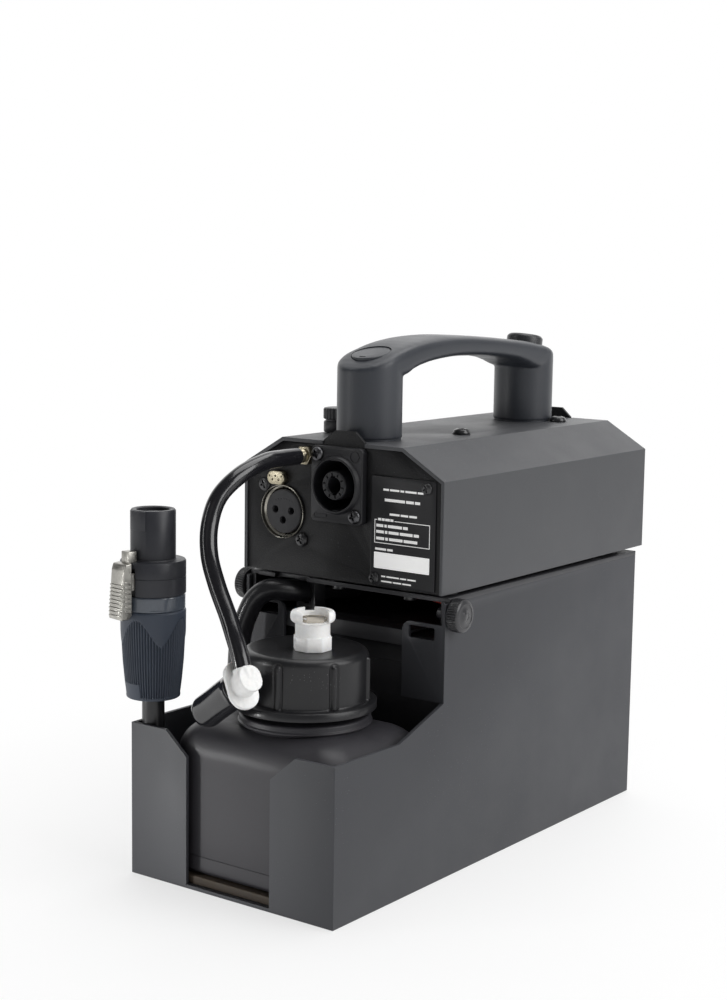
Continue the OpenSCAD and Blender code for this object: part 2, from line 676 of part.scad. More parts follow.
module at_button() translate([0, post_y1, 207.9]) rotate([-button_tilt, 0, 0]) children();
module at_cover() translate([0, post_y0 + 0.5, 208.1]) rotate([cover_tilt, 0, 0]) children();

module handle() color("#46474c") seat() difference() {
  union() {
    for (y = [post_y0, post_y1]) translate([0, y, hood_z2]) cylinder(r = post_d / 2, h = 27.5);
    grip_form();
  }
  for (y = [post_y0, post_y1]) translate([0, y, hood_z2 - 1]) cylinder(r = 3.05, h = 15);
  at_button() translate([0, 0, -7.5]) cylinder(r = button_d / 2 + 0.05, h = 20);
  at_button() translate([0, 0, -17.5]) cylinder(r = 6.6, h = 12);
  at_cover() translate([0, 0, -2]) cylinder(r = 8.35, h = 12);
}

module handle_cover() color("#484a50") seat() at_cover() difference() {
  translate([0, 0, -2]) cylinder(r = 8.2, h = 1.9);
  translate([-1.6, -6.6, -0.7]) cube([3.2, 0.8, 2]);
}

module fog_button() color("#3d3e43") seat() at_button() {
  translate([0, 0, -4.6]) rotate_extrude() polygon([
    [0, 0], [button_d / 2, 0], [button_d / 2, 7.4], [button_d / 2 - 1.2, 8.6], [0, 8.6]]);
  translate([0, 0, button_travel - 11.8]) cylinder(r = 1.5, h = 7.5 - button_travel);
}

module button_switch() color("#18181b") seat() at_button()
  translate([0, 0, -17.4]) cylinder(r = 6.5, h = 5.4);

module handle_bolts() color("#8f9298") seat() for (y = [post_y0, post_y1])
  translate([0, y, 0]) {
    translate([0, 0, in_z2 - 2.8]) cylinder(r = 5, h = 2.8);
    translate([0, 0, in_z2 - 1]) cylinder(r = 3, h = 14);
  }

module output_knob() color("#242428") seat() translate([knob_x, knob_y, 0]) {
  translate([0, 0, 173]) cylinder(r = 6.2, h = 5);
  translate([0, 0, 177.8]) cylinder(r = 5.4, h = 0.9);
  translate([0, 0, 178.5]) difference() {
    cylinder(r = 6.4, h = 5);
    for (i = [0 : 17]) rotate([0, 0, 20 * i]) translate([6.7, 0, -1])
      cylinder(r = 0.6, h = 7, $fn = 16);
  }
  translate([0, 0, 162]) cylinder(r = 3, h = 12);
}

module knob_pot() color("#7d8088") seat() translate([knob_x, knob_y, 0]) difference() {
  union() {
    translate([0, 0, 160]) cylinder(r = 7.9, h = 8.6);
    translate([0, 0, 168]) cylinder(r = 3.65, h = 4.8);
    translate([-3, -10.5, 160.4]) cube([6, 6, 1]);
  }
  translate([0, 0, 161.8]) cylinder(r = 3.05, h = 14);
}

module top_screws() color("#1b1b1f") seat() for (y = [130.6, 211])
  translate([17, y, 0]) {
    difference() {
      translate([0, 0, hood_z2]) rotate_extrude() polygon([
        [0, 0], [3.7, 0], [3.7, 1], [3.1, 2], [2, 2.5], [0, 2.5]]);
      translate([0, 0, hood_z2 + 1.2]) cylinder(r = 1.5, h = 3, $fn = 6);
    }
    translate([0, 0, 165.5]) cylinder(r = 1.95, h = 7.6);
    translate([0, 0, 167]) cylinder(r = 3.3, h = 2.5, $fn = 6);
  }

// ---------------------------------------------------------------- electronics

module board_bracket() color("#a5a8ae") seat() difference() {
  union() {
    translate([9, 122, 169.6]) cube([16, 97, in_z2 - 169.6]);
    for (x = [12, 22]) for (y = [125.2, 216]) translate([x, y, 161.6]) cylinder(r = 2, h = 8.2);
  }
  for (y = [130.6, 211]) translate([17, y, 169]) cylinder(r = 2.05, h = 4);
}

module control_board() color("#1f5a33") seat() {
  translate([4, 118, 160]) cube([38, 104, 1.6]);
  translate([8, 120.6, 161.6]) cube([14, 2.2, 3.4]);
  translate([27, 124, 161.6]) cube([12, 16, 2]);
  for (y = [150, 162]) translate([31, y, 161.6]) cylinder(r = 4, h = 4.6);
  translate([28, 176, 161.6]) cube([10, 12, 2.2]);
  translate([6, 140, 161.6]) cube([9, 6, 3]);
  translate([6, 160, 161.6]) cube([8, 8, 2]);
  translate([27, 200, 161.6]) cube([12, 10, 2]);
}

module wire_harness() color("#b23028") seat() {
  sweep(smooth([[-5, 102, 154], [2, 107, 153], [8, 113, 158], [10, 117, 162.8],
    [12, 120.5, 163.2]], 2), 1, 8);
  sweep(smooth([[5, 102, 154], [9, 108, 156], [15, 113, 159], [18, 117, 162.8],
    [19, 120.5, 163.2]], 2), 1, 8);
  sweep(smooth([[-30, 90.6, 141.5], [-30, 96, 142.5], [-22, 108, 150], [-4, 118, 156],
    [2, 122, 158.2]], 3), 1, 8);
}

// ---------------------------------------------------------------- fogging unit

module pump_body() color("#6f747c") seat() difference() {
  union() {
    ycyl(pump_x, 106, pump_z, 13, 30);
    translate([pump_x - 15, 104, tray_z]) cube([30, 2.2, 30]);
    translate([pump_x - 15, 135.8, tray_z]) cube([30, 2.2, 30]);
    translate([pump_x - 15, 104, tray_z]) cube([30, 34, 2]);
    translate([pump_x, 110, 140]) cylinder(r = 1.8, h = 10);
    ycyl(pump_x, 137, pump_z, 2, 4);
  }
  ycyl(pump_x, 108, pump_z, 4.05, 27);
  ycyl(pump_x, 134, pump_z, 1, 8);
  translate([pump_x, 110, 132]) cylinder(r = 1, h = 19);
}

module pump_plunger() color("#b5b8be") seat() ycyl(pump_x, 111.5, pump_z, 4, 19);

module heater_block() color("#b4b6ba") seat() difference() {
  union() {
    ycyl(0, 150, heat_z, 14, 72);
    ycyl(pump_x, 147, pump_z, 2, 4);
  }
  // vapour passage and heating cartridge bore
  ycyl(pump_x, 146, pump_z, 1, 30);
  ycyl(0, 170, heat_z, 4.6, 54);
}

module heater_jacket() color("#cfc6b2") seat() difference() {
  translate([-20, 148, tray_z]) cube([40, 75.5, 44]);
  ycyl(0, 149.9, heat_z, 14.15, 72.2);
  ycyl(pump_x, 146, pump_z, 2.4, 8);
  ycyl(0, 220, heat_z, 9.2, 8);
}

module nozzle() color("#9a9c9f") seat() difference() {
  union() {
    ycyl(0, 222.1, heat_z, 9, 17.9);
    ycyl(0, hy1 - 0.5, heat_z, 12, 2);
  }
  ycyl(0, 221, heat_z, 5, 20);
}

// ---------------------------------------------------------------- thumbscrews

// Thumbscrew along +Z, its seat at z = 0 and its thread pointing down.
module thumbscrew() {
  difference() {
    rotate_extrude() polygon([
      [0, -6.4], [2.4, -6.4], [2.4, 0.05], [4.3, 0.05], [4.3, 1.1], [6.4, 1.1],
      [6.75, 1.5], [6.75, 5.1], [6.2, 5.7], [4.4, 6.2], [0, 6.5]]);
    for (i = [0 : 29]) rotate([0, 0, 12 * i]) translate([7.05, 0, 0])
      cylinder(r = 0.55, h = 5.3, $fn = 16);
  }
}

module thumbscrew_rear_right() color("#26262a") seat()
  translate([wall_x, 75.5, 107.5]) rotate([0, 90, 0]) thumbscrew();
module thumbscrew_rear_left() color("#26262a") seat()
  translate([-wall_x, 75.5, 107.5]) rotate([0, -90, 0]) thumbscrew();
module thumbscrew_front_right() color("#26262a") seat()
  translate([40, case_l, 104]) rotate([-90, 0, 0]) thumbscrew();
module thumbscrew_front_left() color("#26262a") seat()
  translate([-40, case_l, 104]) rotate([-90, 0, 0]) thumbscrew();

// ---------------------------------------------------------------- assembly

lower_case();
retainer_bar();
battery_pad();
battery();
battery_terminals();
battery_leads();
cable_clip();
battery_cable();
plug_bushing();
plug_ring();
plug_body();
plug_latch();
bottle_mat();
bottle();
bottle_cap();
cap_seal();
coupling_body();
coupling_latch();
dip_tube();
dip_filter();
chassis_tray();
hood();
chassis_screws();
rear_panel();
front_panel();
label_plate();
label_screws();
xlr_shell();
xlr_insert();
xlr_latch();
xlr_screws();
power_socket();
power_contacts();
socket_screws();
hose_fitting();
feed_tubes();
fluid_hose();
hose_elbow();
nose_cap();
handle();
handle_cover();
fog_button();
button_switch();
handle_bolts();
output_knob();
knob_pot();
top_screws();
board_bracket();
control_board();
wire_harness();
pump_body();
pump_plunger();
heater_block();
heater_jacket();
nozzle();
thumbscrew_rear_right();
thumbscrew_rear_left();
thumbscrew_front_right();
thumbscrew_front_left();
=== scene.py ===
"""Looks of the battery fog machine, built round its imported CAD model.

Pieces are made in millimetres in the case's own frame (X right, Y from the case's
rear face, Z up) and then set into the row frame by place().
"""

import json
import math

import bmesh
import bpy
from mathutils import Matrix, Vector


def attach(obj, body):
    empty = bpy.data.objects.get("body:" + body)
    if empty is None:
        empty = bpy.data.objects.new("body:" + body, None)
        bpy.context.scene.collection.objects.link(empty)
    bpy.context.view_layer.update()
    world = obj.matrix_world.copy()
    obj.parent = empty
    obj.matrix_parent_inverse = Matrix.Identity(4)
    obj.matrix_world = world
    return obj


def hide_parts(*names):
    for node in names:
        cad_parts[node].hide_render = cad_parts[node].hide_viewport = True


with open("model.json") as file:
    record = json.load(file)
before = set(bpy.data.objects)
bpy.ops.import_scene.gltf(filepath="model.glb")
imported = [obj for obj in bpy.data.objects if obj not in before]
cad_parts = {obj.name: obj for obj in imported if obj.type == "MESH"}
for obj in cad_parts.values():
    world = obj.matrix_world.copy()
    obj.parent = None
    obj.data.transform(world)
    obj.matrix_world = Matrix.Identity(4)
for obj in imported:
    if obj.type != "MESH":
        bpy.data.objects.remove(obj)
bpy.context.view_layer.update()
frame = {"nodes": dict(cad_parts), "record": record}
NODES = frame["nodes"]
BODY = {n: b for b, ns in frame["record"]["behaviour"]["bodies"].items() for n in ns}
SLOT = {s["node"]: s["material_slot"] for s in frame["record"]["subparts"]}
SCENE = bpy.context.scene
PI = math.pi
TO_ROW = Matrix.Translation((0, -0.12, 0)) @ Matrix.Diagonal((0.001, 0.001, 0.001, 1))


def P(x, y, z):
    """A point of the case's frame, in millimetres, as a point of the row frame."""
    return Vector((x, y - 120, z)) / 1000


# ------------------------------------------------------------------ camera

cam_data = bpy.data.cameras.new("camera")
cam_data.lens = 64.755
cam_data.sensor_width = 36
cam_data.clip_start = 0.01
cam = bpy.data.objects.new("camera", cam_data)
SCENE.collection.objects.link(cam)
az, tilt, roll = math.radians(36.44), math.radians(7.87), math.radians(0.85)
fwd = Vector((-math.sin(az) * math.cos(tilt), math.cos(az) * math.cos(tilt), -math.sin(tilt)))
right = Vector((math.cos(az), math.sin(az), 0))
up = right.cross(fwd)
cx = right * math.cos(roll) + up * math.sin(roll)
cy = up * math.cos(roll) - right * math.sin(roll)
turn = Matrix((cx, cy, -fwd)).transposed()
cam.matrix_world = Matrix.Translation((0.4362, -0.62656, 0.24898)) @ turn.to_4x4()
SCENE.camera = cam
SCENE.view_settings.view_transform = "Standard"

# ------------------------------------------------------------------ helpers


def add(name, me):
    o = bpy.data.objects.new(name, me)
    SCENE.collection.objects.link(o)
    return o


def from_bm(name, bm):
    bmesh.ops.recalc_face_normals(bm, faces=bm.faces)
    me = bpy.data.meshes.new(name)
    bm.to_mesh(me)
    bm.free()
    return add(name, me)


def drop(o):
    me = o.data
    bpy.data.objects.remove(o)
    if me.users == 0:
        bpy.data.meshes.remove(me)


def bake(o):
    """Applies the modifiers of o to its mesh."""
    dg = bpy.context.evaluated_depsgraph_get()
    me = bpy.data.meshes.new_from_object(o.evaluated_get(dg))
    old = o.data
    o.modifiers.clear()
    o.data = me
    if old.users == 0:
        bpy.data.meshes.remove(old)
    return o


def combine(o, other, how="UNION"):
    m = o.modifiers.new("combine", "BOOLEAN")
    m.operation = how
    m.object = other
    m.solver = "EXACT"
    bake(o)
    drop(other)
    return o


def cut(o, *others):
    for c in others:
        combine(o, c, "DIFFERENCE")
    return o


def join(o, *others):
    """Puts closed shells of others into o's mesh."""
    bm = bmesh.new()
    bm.from_mesh(o.data)
    for c in others:
        bm.from_mesh(c.data)
    bm.to_mesh(o.data)
    bm.free()
    for c in others:
        drop(c)
    return o


def shape(o, m):
    o.data.transform(m)
    return o


def move(o, x, y, z):
    return shape(o, Matrix.Translation((x, y, z)))


def spin(o, angle, axis="Z"):
    return shape(o, Matrix.Rotation(math.radians(angle), 4, axis))


def along(o, a, b):
    """Sets a piece drawn along +Z from the origin onto the line from a to b, tilted about Y and then turned about Z."""
    v = Vector(b) - Vector(a)
    t = math.acos(v.z / v.length)
    p = math.atan2(v.y, v.x)
    return shape(o, Matrix.Translation(a) @ Matrix.Rotation(p, 4, "Z") @ Matrix.Rotation(t, 4, "Y"))


def along_y(o, x, y, z):
    """Sets a piece drawn along +Z so that it runs along +Y from (x, y, z)."""
    return shape(o, Matrix.Translation((x, y, z)) @ Matrix.Rotation(-PI / 2, 4, "X"))


def toward_rear(o, x, y, z):
    """Sets a piece drawn in the XY plane and along +Z so that +Z points to the rear (-Y) and its Y is up."""
    return shape(o, Matrix.Translation((x, y, z)) @ Matrix.Rotation(PI / 2, 4, "X"))


def lathe(name, profile, n=96, displace=None):
    """A closed solid of revolution about Z. profile is a list of (r, z), r at least 0, from its lowest to its highest end along the outside; displace(angle, r, z) gives a new r."""
    bm = bmesh.new()
    rings = []
    for r, z in profile:
        if r < 1e-6:
            rings.append([bm.verts.new((0, 0, z))])
        else:
            ring = []
            for i in range(n):
                a = 2 * PI * i / n
                q = displace(a, r, z) if displace else r
                ring.append(bm.verts.new((q * math.cos(a), q * math.sin(a), z)))
            rings.append(ring)
    closed = len(rings[0]) > 1 and len(rings[-1]) > 1
    pairs = list(zip(rings, rings[1:])) + ([(rings[-1], rings[0])] if closed else [])
    for a, b in pairs:
        for i in range(n):
            j = (i + 1) % n
            if len(a) == 1 and len(b) > 1:
                bm.faces.new((a[0], b[j], b[i]))
            elif len(b) == 1 and len(a) > 1:
                bm.faces.new((a[i], a[j], b[0]))
            elif len(a) > 1:
                bm.faces.new((a[i], a[j], b[j], b[i]))
    return from_bm(name, bm)


def rounded(pts, r, k=5):
    """Rounds the inner corners of an open profile by r."""
    out = [pts[0]]
    for i in range(1, len(pts) - 1):
        p, q, s = Vector(pts[i - 1]), Vector(pts[i]), Vector(pts[i + 1])
        a, b = p - q, s - q
        d = min(r, a.length * 0.45, b.length * 0.45)
        a, b = q + a.normalized() * d, q + b.normalized() * d
        for j in range(k + 1):
            t = j / k
            w = a * (1 - t) ** 2 + q * 2 * t * (1 - t) + b * t * t
            out.append((w.x, w.y))
    out.append(pts[-1])
    return out


def prism(name, outline, z0, z1):
    """A closed prism of a flat outline, from z0 to z1."""
    bm = bmesh.new()
    lo = [bm.verts.new((x, y, z0)) for x, y in outline]
    hi = [bm.verts.new((x, y, z1)) for x, y in outline]
    n = len(outline)
    bm.faces.new(lo[::-1])
    bm.faces.new(hi)
    for i in range(n):
        j = (i + 1) % n
        bm.faces.new((lo[i], lo[j], hi[j], hi[i]))
    return from_bm(name, bm)


def rrect(w, h, r, k=8, x=0.0, y=0.0):
    pts = []
    for cx_, cy_, a0 in ((1, 1, 0), (-1, 1, 90), (-1, -1, 180), (1, -1, 270)):
        for j in range(k + 1):
            a = math.radians(a0 + 90 * j / k)
            pts.append((x + cx_ * (w / 2 - r) + r * math.cos(a), y + cy_ * (h / 2 - r) + r * math.sin(a)))
    return pts


def circle(r, n=64, x=0.0, y=0.0, a0=0.0):
    return [(x + r * math.cos(2 * PI * i / n + a0), y + r * math.sin(2 * PI * i / n + a0)) for i in range(n)]


def block(x0, y0, z0, x1, y1, z1, name="block"):
    return prism(name, [(x0, y0), (x1, y0), (x1, y1), (x0, y1)], z0, z1)


def soften(o, width, segments=3, angle=32):
    """Rounds the edges of o by width millimetres."""
    m = o.modifiers.new("soften", "BEVEL")
    m.width = width
    m.segments = segments
    m.limit_method = "ANGLE"
    m.angle_limit = math.radians(angle)
    m.harden_normals = False
    m.miter_outer = "MITER_ARC"
    return bake(o)


def remesh(o, voxel, smooth=4, factor=0.5):
    m = o.modifiers.new("remesh", "REMESH")
    m.mode = "VOXEL"
    m.voxel_size = voxel
    bake(o)
    if smooth:
        m = o.modifiers.new("smooth", "SMOOTH")
        m.iterations = smooth
        m.factor = factor
        bake(o)
    return o


def shade(o, angle=38):
    me = o.data
    me.shade_smooth()
    me.set_sharp_from_angle(angle=math.radians(angle))
    return o


def clean(o):
    bm = bmesh.new()
    bm.from_mesh(o.data)
    bmesh.ops.remove_doubles(bm, verts=bm.verts, dist=1e-4)
    bmesh.ops.dissolve_degenerate(bm, edges=bm.edges, dist=1e-5)
    bmesh.ops.recalc_face_normals(bm, faces=bm.faces)
    bm.to_mesh(o.data)
    bm.free()
    return o


def place(o, node, material, name=None, angle=38, stands_for=True, extra=()):
    """Sets a piece drawn in millimetres into the row frame, and says which node it stands for."""
    o.data.transform(TO_ROW)
    o.name = name or node + "_finish"
    o.data.name = o.name
    o.data.materials.clear()
    o.data.materials.append(material)
    shade(o, angle)
    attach(o, BODY[node])
    if stands_for:
        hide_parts(node, *extra)
    return o


def refined(node, material, width=0.25, fold=None, fold_width=1.2, segments=2, name=None, flat=0.6):
    """A copy of a CAD node with its flat faces joined, its folds rounded and its other edges eased."""
    me = NODES[node].data.copy()
    me.transform(TO_ROW.inverted())
    o = add(node + "_finish", me)
    bm = bmesh.new()
    bm.from_mesh(me)
    bmesh.ops.remove_doubles(bm, verts=bm.verts, dist=0.002)
    bmesh.ops.dissolve_limit(bm, angle_limit=math.radians(flat), verts=bm.verts, edges=bm.edges)
    bmesh.ops.recalc_face_normals(bm, faces=bm.faces)
    layer = bm.edges.layers.float.get("bevel_weight_edge") or bm.edges.layers.float.new("bevel_weight_edge")
    big = fold_width if fold else width
    for e in bm.edges:
        if len(e.link_faces) == 2 and e.calc_face_angle(0) > math.radians(28):
            a, b = e.verts[0].co, e.verts[1].co
            is_fold = fold is not None and e.is_convex and fold(a, b)
            e[layer] = 1.0 if is_fold else width / big
    bm.to_mesh(me)
    bm.free()
    m = o.modifiers.new("ease", "BEVEL")
    m.width = big
    m.segments = segments if not fold else 4
    m.limit_method = "WEIGHT"
    m.use_clamp_overlap = True
    m.loop_slide = True
    m.harden_normals = True
    me.shade_smooth()
    bake(o)
    return place(o, node, material, name)


# ------------------------------------------------------------------ routes of the hose and the cable


def mid_point(a, b, c, d, u):
    return 0.5 * (2 * b + (c - a) * u + (2 * a - 5 * b + 4 * c - d) * u * u + (3 * b - 3 * c + d - a) * u * u * u)


def smooth_route(pts, k):
    p = [Vector(q) for q in pts]
    out = []
    for i in range(len(p) - 1):
        for j in range(k):
            out.append(mid_point(p[max(i - 1, 0)], p[i], p[i + 1], p[min(i + 2, len(p) - 1)], j / k))
    return out + [p[-1]]


def curve_tube(name, pts, radius):
    """A round tube as a curve of one open spline, in the row frame."""
    cu = bpy.data.curves.new(name, "CURVE")
    cu.dimensions = "3D"
    cu.bevel_depth = radius / 1000
    cu.bevel_resolution = 10
    cu.use_fill_caps = True
    cu.twist_mode = "MINIMUM"
    sp = cu.splines.new("POLY")
    sp.points.add(len(pts) - 1)
    for q, v in zip(sp.points, pts):
        w = P(*v)
        q.co = (w.x, w.y, w.z, 1)
    sp.use_smooth = True
    o = bpy.data.objects.new(name, cu)
    SCENE.collection.objects.link(o)
    return o


HOSE = [
    (-17.5, 62, 166), (-17.5, 52, 166), (-17.5, 42, 165.5), (-18.5, 28, 161.5),
    (-21, 18, 153.5), (-21, 12.5, 143), (-17.5, 8.5, 132), (-11, 5.5, 121.5),
    (-3, 2.5, 111.5), (2.5, 0, 104.5), (7.0, -1.8, 97.8), (9.3, -2.7, 93.1),
]
CABLE = [
    (-18, 104, 106.5), (-21, 93, 106.5), (-24.5, 82, 106.5), (-28, 72, 108),
    (-33.5, 65, 108.5), (-38.5, 62, 105), (-42, 60.5, 98), (-44.5, 59, 88),
    (-44.9, 58, 76), (-44.9, 57.5, 62), (-44.9, 56.5, 48), (-44.9, 52, 33),
    (-44.9, 42.5, 21.5), (-44.9, 30, 17.5), (-44.9, 17.5, 22.5),
    (-44.9, 9, 35), (-44.9, 6.5, 48), (-44.9, 6.2, 60), (-44.9, 6.2, 72.7),
]
ELBOW_P, NOSE_A, NOSE_B = Vector((11.2, -3.5, 88.9)), Vector((6.9, -1.8, 86.1)), Vector((-15.6, 5.5, 71.5))

# ------------------------------------------------------------------ materials


def lin(*rgb):
    return [((c / 255 + 0.055) / 1.055) ** 2.4 if c > 10.31 else c / 255 / 12.92 for c in rgb]


def surface(
    name, rgb, rough, metal=0.0, grain=0.5, depth=0.012, mottle=0.07, rough_var=0.06, patch=14.0,
    specks=0.0, coat=0.0, coat_rough=0.08, sub=0.0, spec=0.5, fine=None, painted_edge_light=0.0, stretch=None, sheen=0.0, glow=0.0,
):
    """A procedural material. grain and patch are feature sizes in millimetres, depth is the height of the grain in millimetres."""
    m = bpy.data.materials.new(name)
    m.use_nodes = True
    nt = m.node_tree
    new, link = nt.nodes.new, nt.links.new
    bsdf = nt.nodes["Principled BSDF"]
    tc = new("ShaderNodeTexCoord")
    source = tc.outputs["Object"]
    if stretch:
        mp = new("ShaderNodeMapping")
        mp.inputs["Scale"].default_value = stretch
        link(source, mp.inputs["Vector"])
        source = mp.outputs["Vector"]

    def noise(size, detail=2.0, rough_=0.5):
        n = new("ShaderNodeTexNoise")
        n.inputs["Scale"].default_value = 1000.0 / size
        n.inputs["Detail"].default_value = detail
        n.inputs["Roughness"].default_value = rough_
        link(source, n.inputs["Vector"])
        return n

    def remap(out, a, b, c, d):
        r = new("ShaderNodeMapRange")
        r.inputs["From Min"].default_value = a
        r.inputs["From Max"].default_value = b
        r.inputs["To Min"].default_value = c
        r.inputs["To Max"].default_value = d
        link(out, r.inputs["Value"])
        return r.outputs["Result"]

    def mix(fac, a, b):
        x = new("ShaderNodeMix")
        x.data_type = "RGBA"
        for sock, v in ((x.inputs[0], fac), (x.inputs[6], a), (x.inputs[7], b)):
            if isinstance(v, bpy.types.NodeSocket):
                link(v, sock)
            else:
                sock.default_value = v
        return x.outputs[2]

    base = list(rgb) + [1.0]
    patches = noise(patch, 4.0, 0.6)
    grains = noise(grain, 2.0, 0.55)
    dark = [c * (1 - mottle) for c in rgb] + [1.0]
    light = [min(1, c * (1 + mottle)) for c in rgb] + [1.0]
    colour = mix(remap(patches.outputs["Fac"], 0.35, 0.65, 0, 1), dark, light)
    tint = mix(remap(grains.outputs["Fac"], 0.3, 0.7, 0, 1), [c * 0.88 for c in rgb] + [1.0], [min(1, c * 1.12) for c in rgb] + [1.0])
    colour = mix(0.45, colour, tint)
    # painted highlight: Pointiness lifts the colour along sharp convex edges, standing in for light caught by the edges
    if painted_edge_light > 0:
        geo = new("ShaderNodeNewGeometry")
        rim = remap(geo.outputs["Pointiness"], 0.53, 0.62, 0, painted_edge_light)
        colour = mix(rim, colour, [min(1, c * 2.2 + 0.03) for c in rgb] + [1.0])
    if specks > 0:
        dust = noise(0.5, 0.0)
        where = noise(30.0, 3.0)
        hit = remap(dust.outputs["Fac"], 0.81 - 0.02 * specks, 0.84 - 0.02 * specks, 0, 1)
        area = remap(where.outputs["Fac"], 0.48, 0.65, 0, 0.5)
        both = new("ShaderNodeMath")
        both.operation = "MULTIPLY"
        link(hit, both.inputs[0])
        link(area, both.inputs[1])
        colour = mix(both.outputs[0], colour, [min(1, c + 0.22) for c in rgb] + [1.0])
    link(colour, bsdf.inputs["Base Color"])
    link(remap(patches.outputs["Fac"], 0.3, 0.7, max(0.02, rough - rough_var), min(1, rough + rough_var)), bsdf.inputs["Roughness"])
    bsdf.inputs["Metallic"].default_value = metal
    bsdf.inputs["Specular IOR Level"].default_value = spec
    bsdf.inputs["Coat Weight"].default_value = coat
    bsdf.inputs["Coat Roughness"].default_value = coat_rough
    # painted glow: the surface gives off light of its own colour though it is no lamp
    if glow:
        bsdf.inputs["Emission Color"].default_value = base
        bsdf.inputs["Emission Strength"].default_value = glow
    if sheen:
        bsdf.inputs["Sheen Weight"].default_value = sheen
    if sub:
        bsdf.inputs["Subsurface Weight"].default_value = sub
        bsdf.inputs["Subsurface Radius"].default_value = (0.002, 0.0018, 0.0016)
        bsdf.inputs["Subsurface Scale"].default_value = 1.0
    if depth > 0:
        b1 = new("ShaderNodeBump")
        b1.inputs["Strength"].default_value = 1.0
        b1.inputs["Distance"].default_value = depth / 1000
        link(grains.outputs["Fac"], b1.inputs["Height"])
        normal = b1.outputs["Normal"]
        if fine:
            b2 = new("ShaderNodeBump")
            b2.inputs["Distance"].default_value = fine[1] / 1000
            f = noise(fine[0], 1.0)
            link(f.outputs["Fac"], b2.inputs["Height"])
            link(normal, b2.inputs["Normal"])
            normal = b2.outputs["Normal"]
        link(normal, bsdf.inputs["Normal"])
        if coat:
            link(normal, bsdf.inputs["Coat Normal"])
    return m


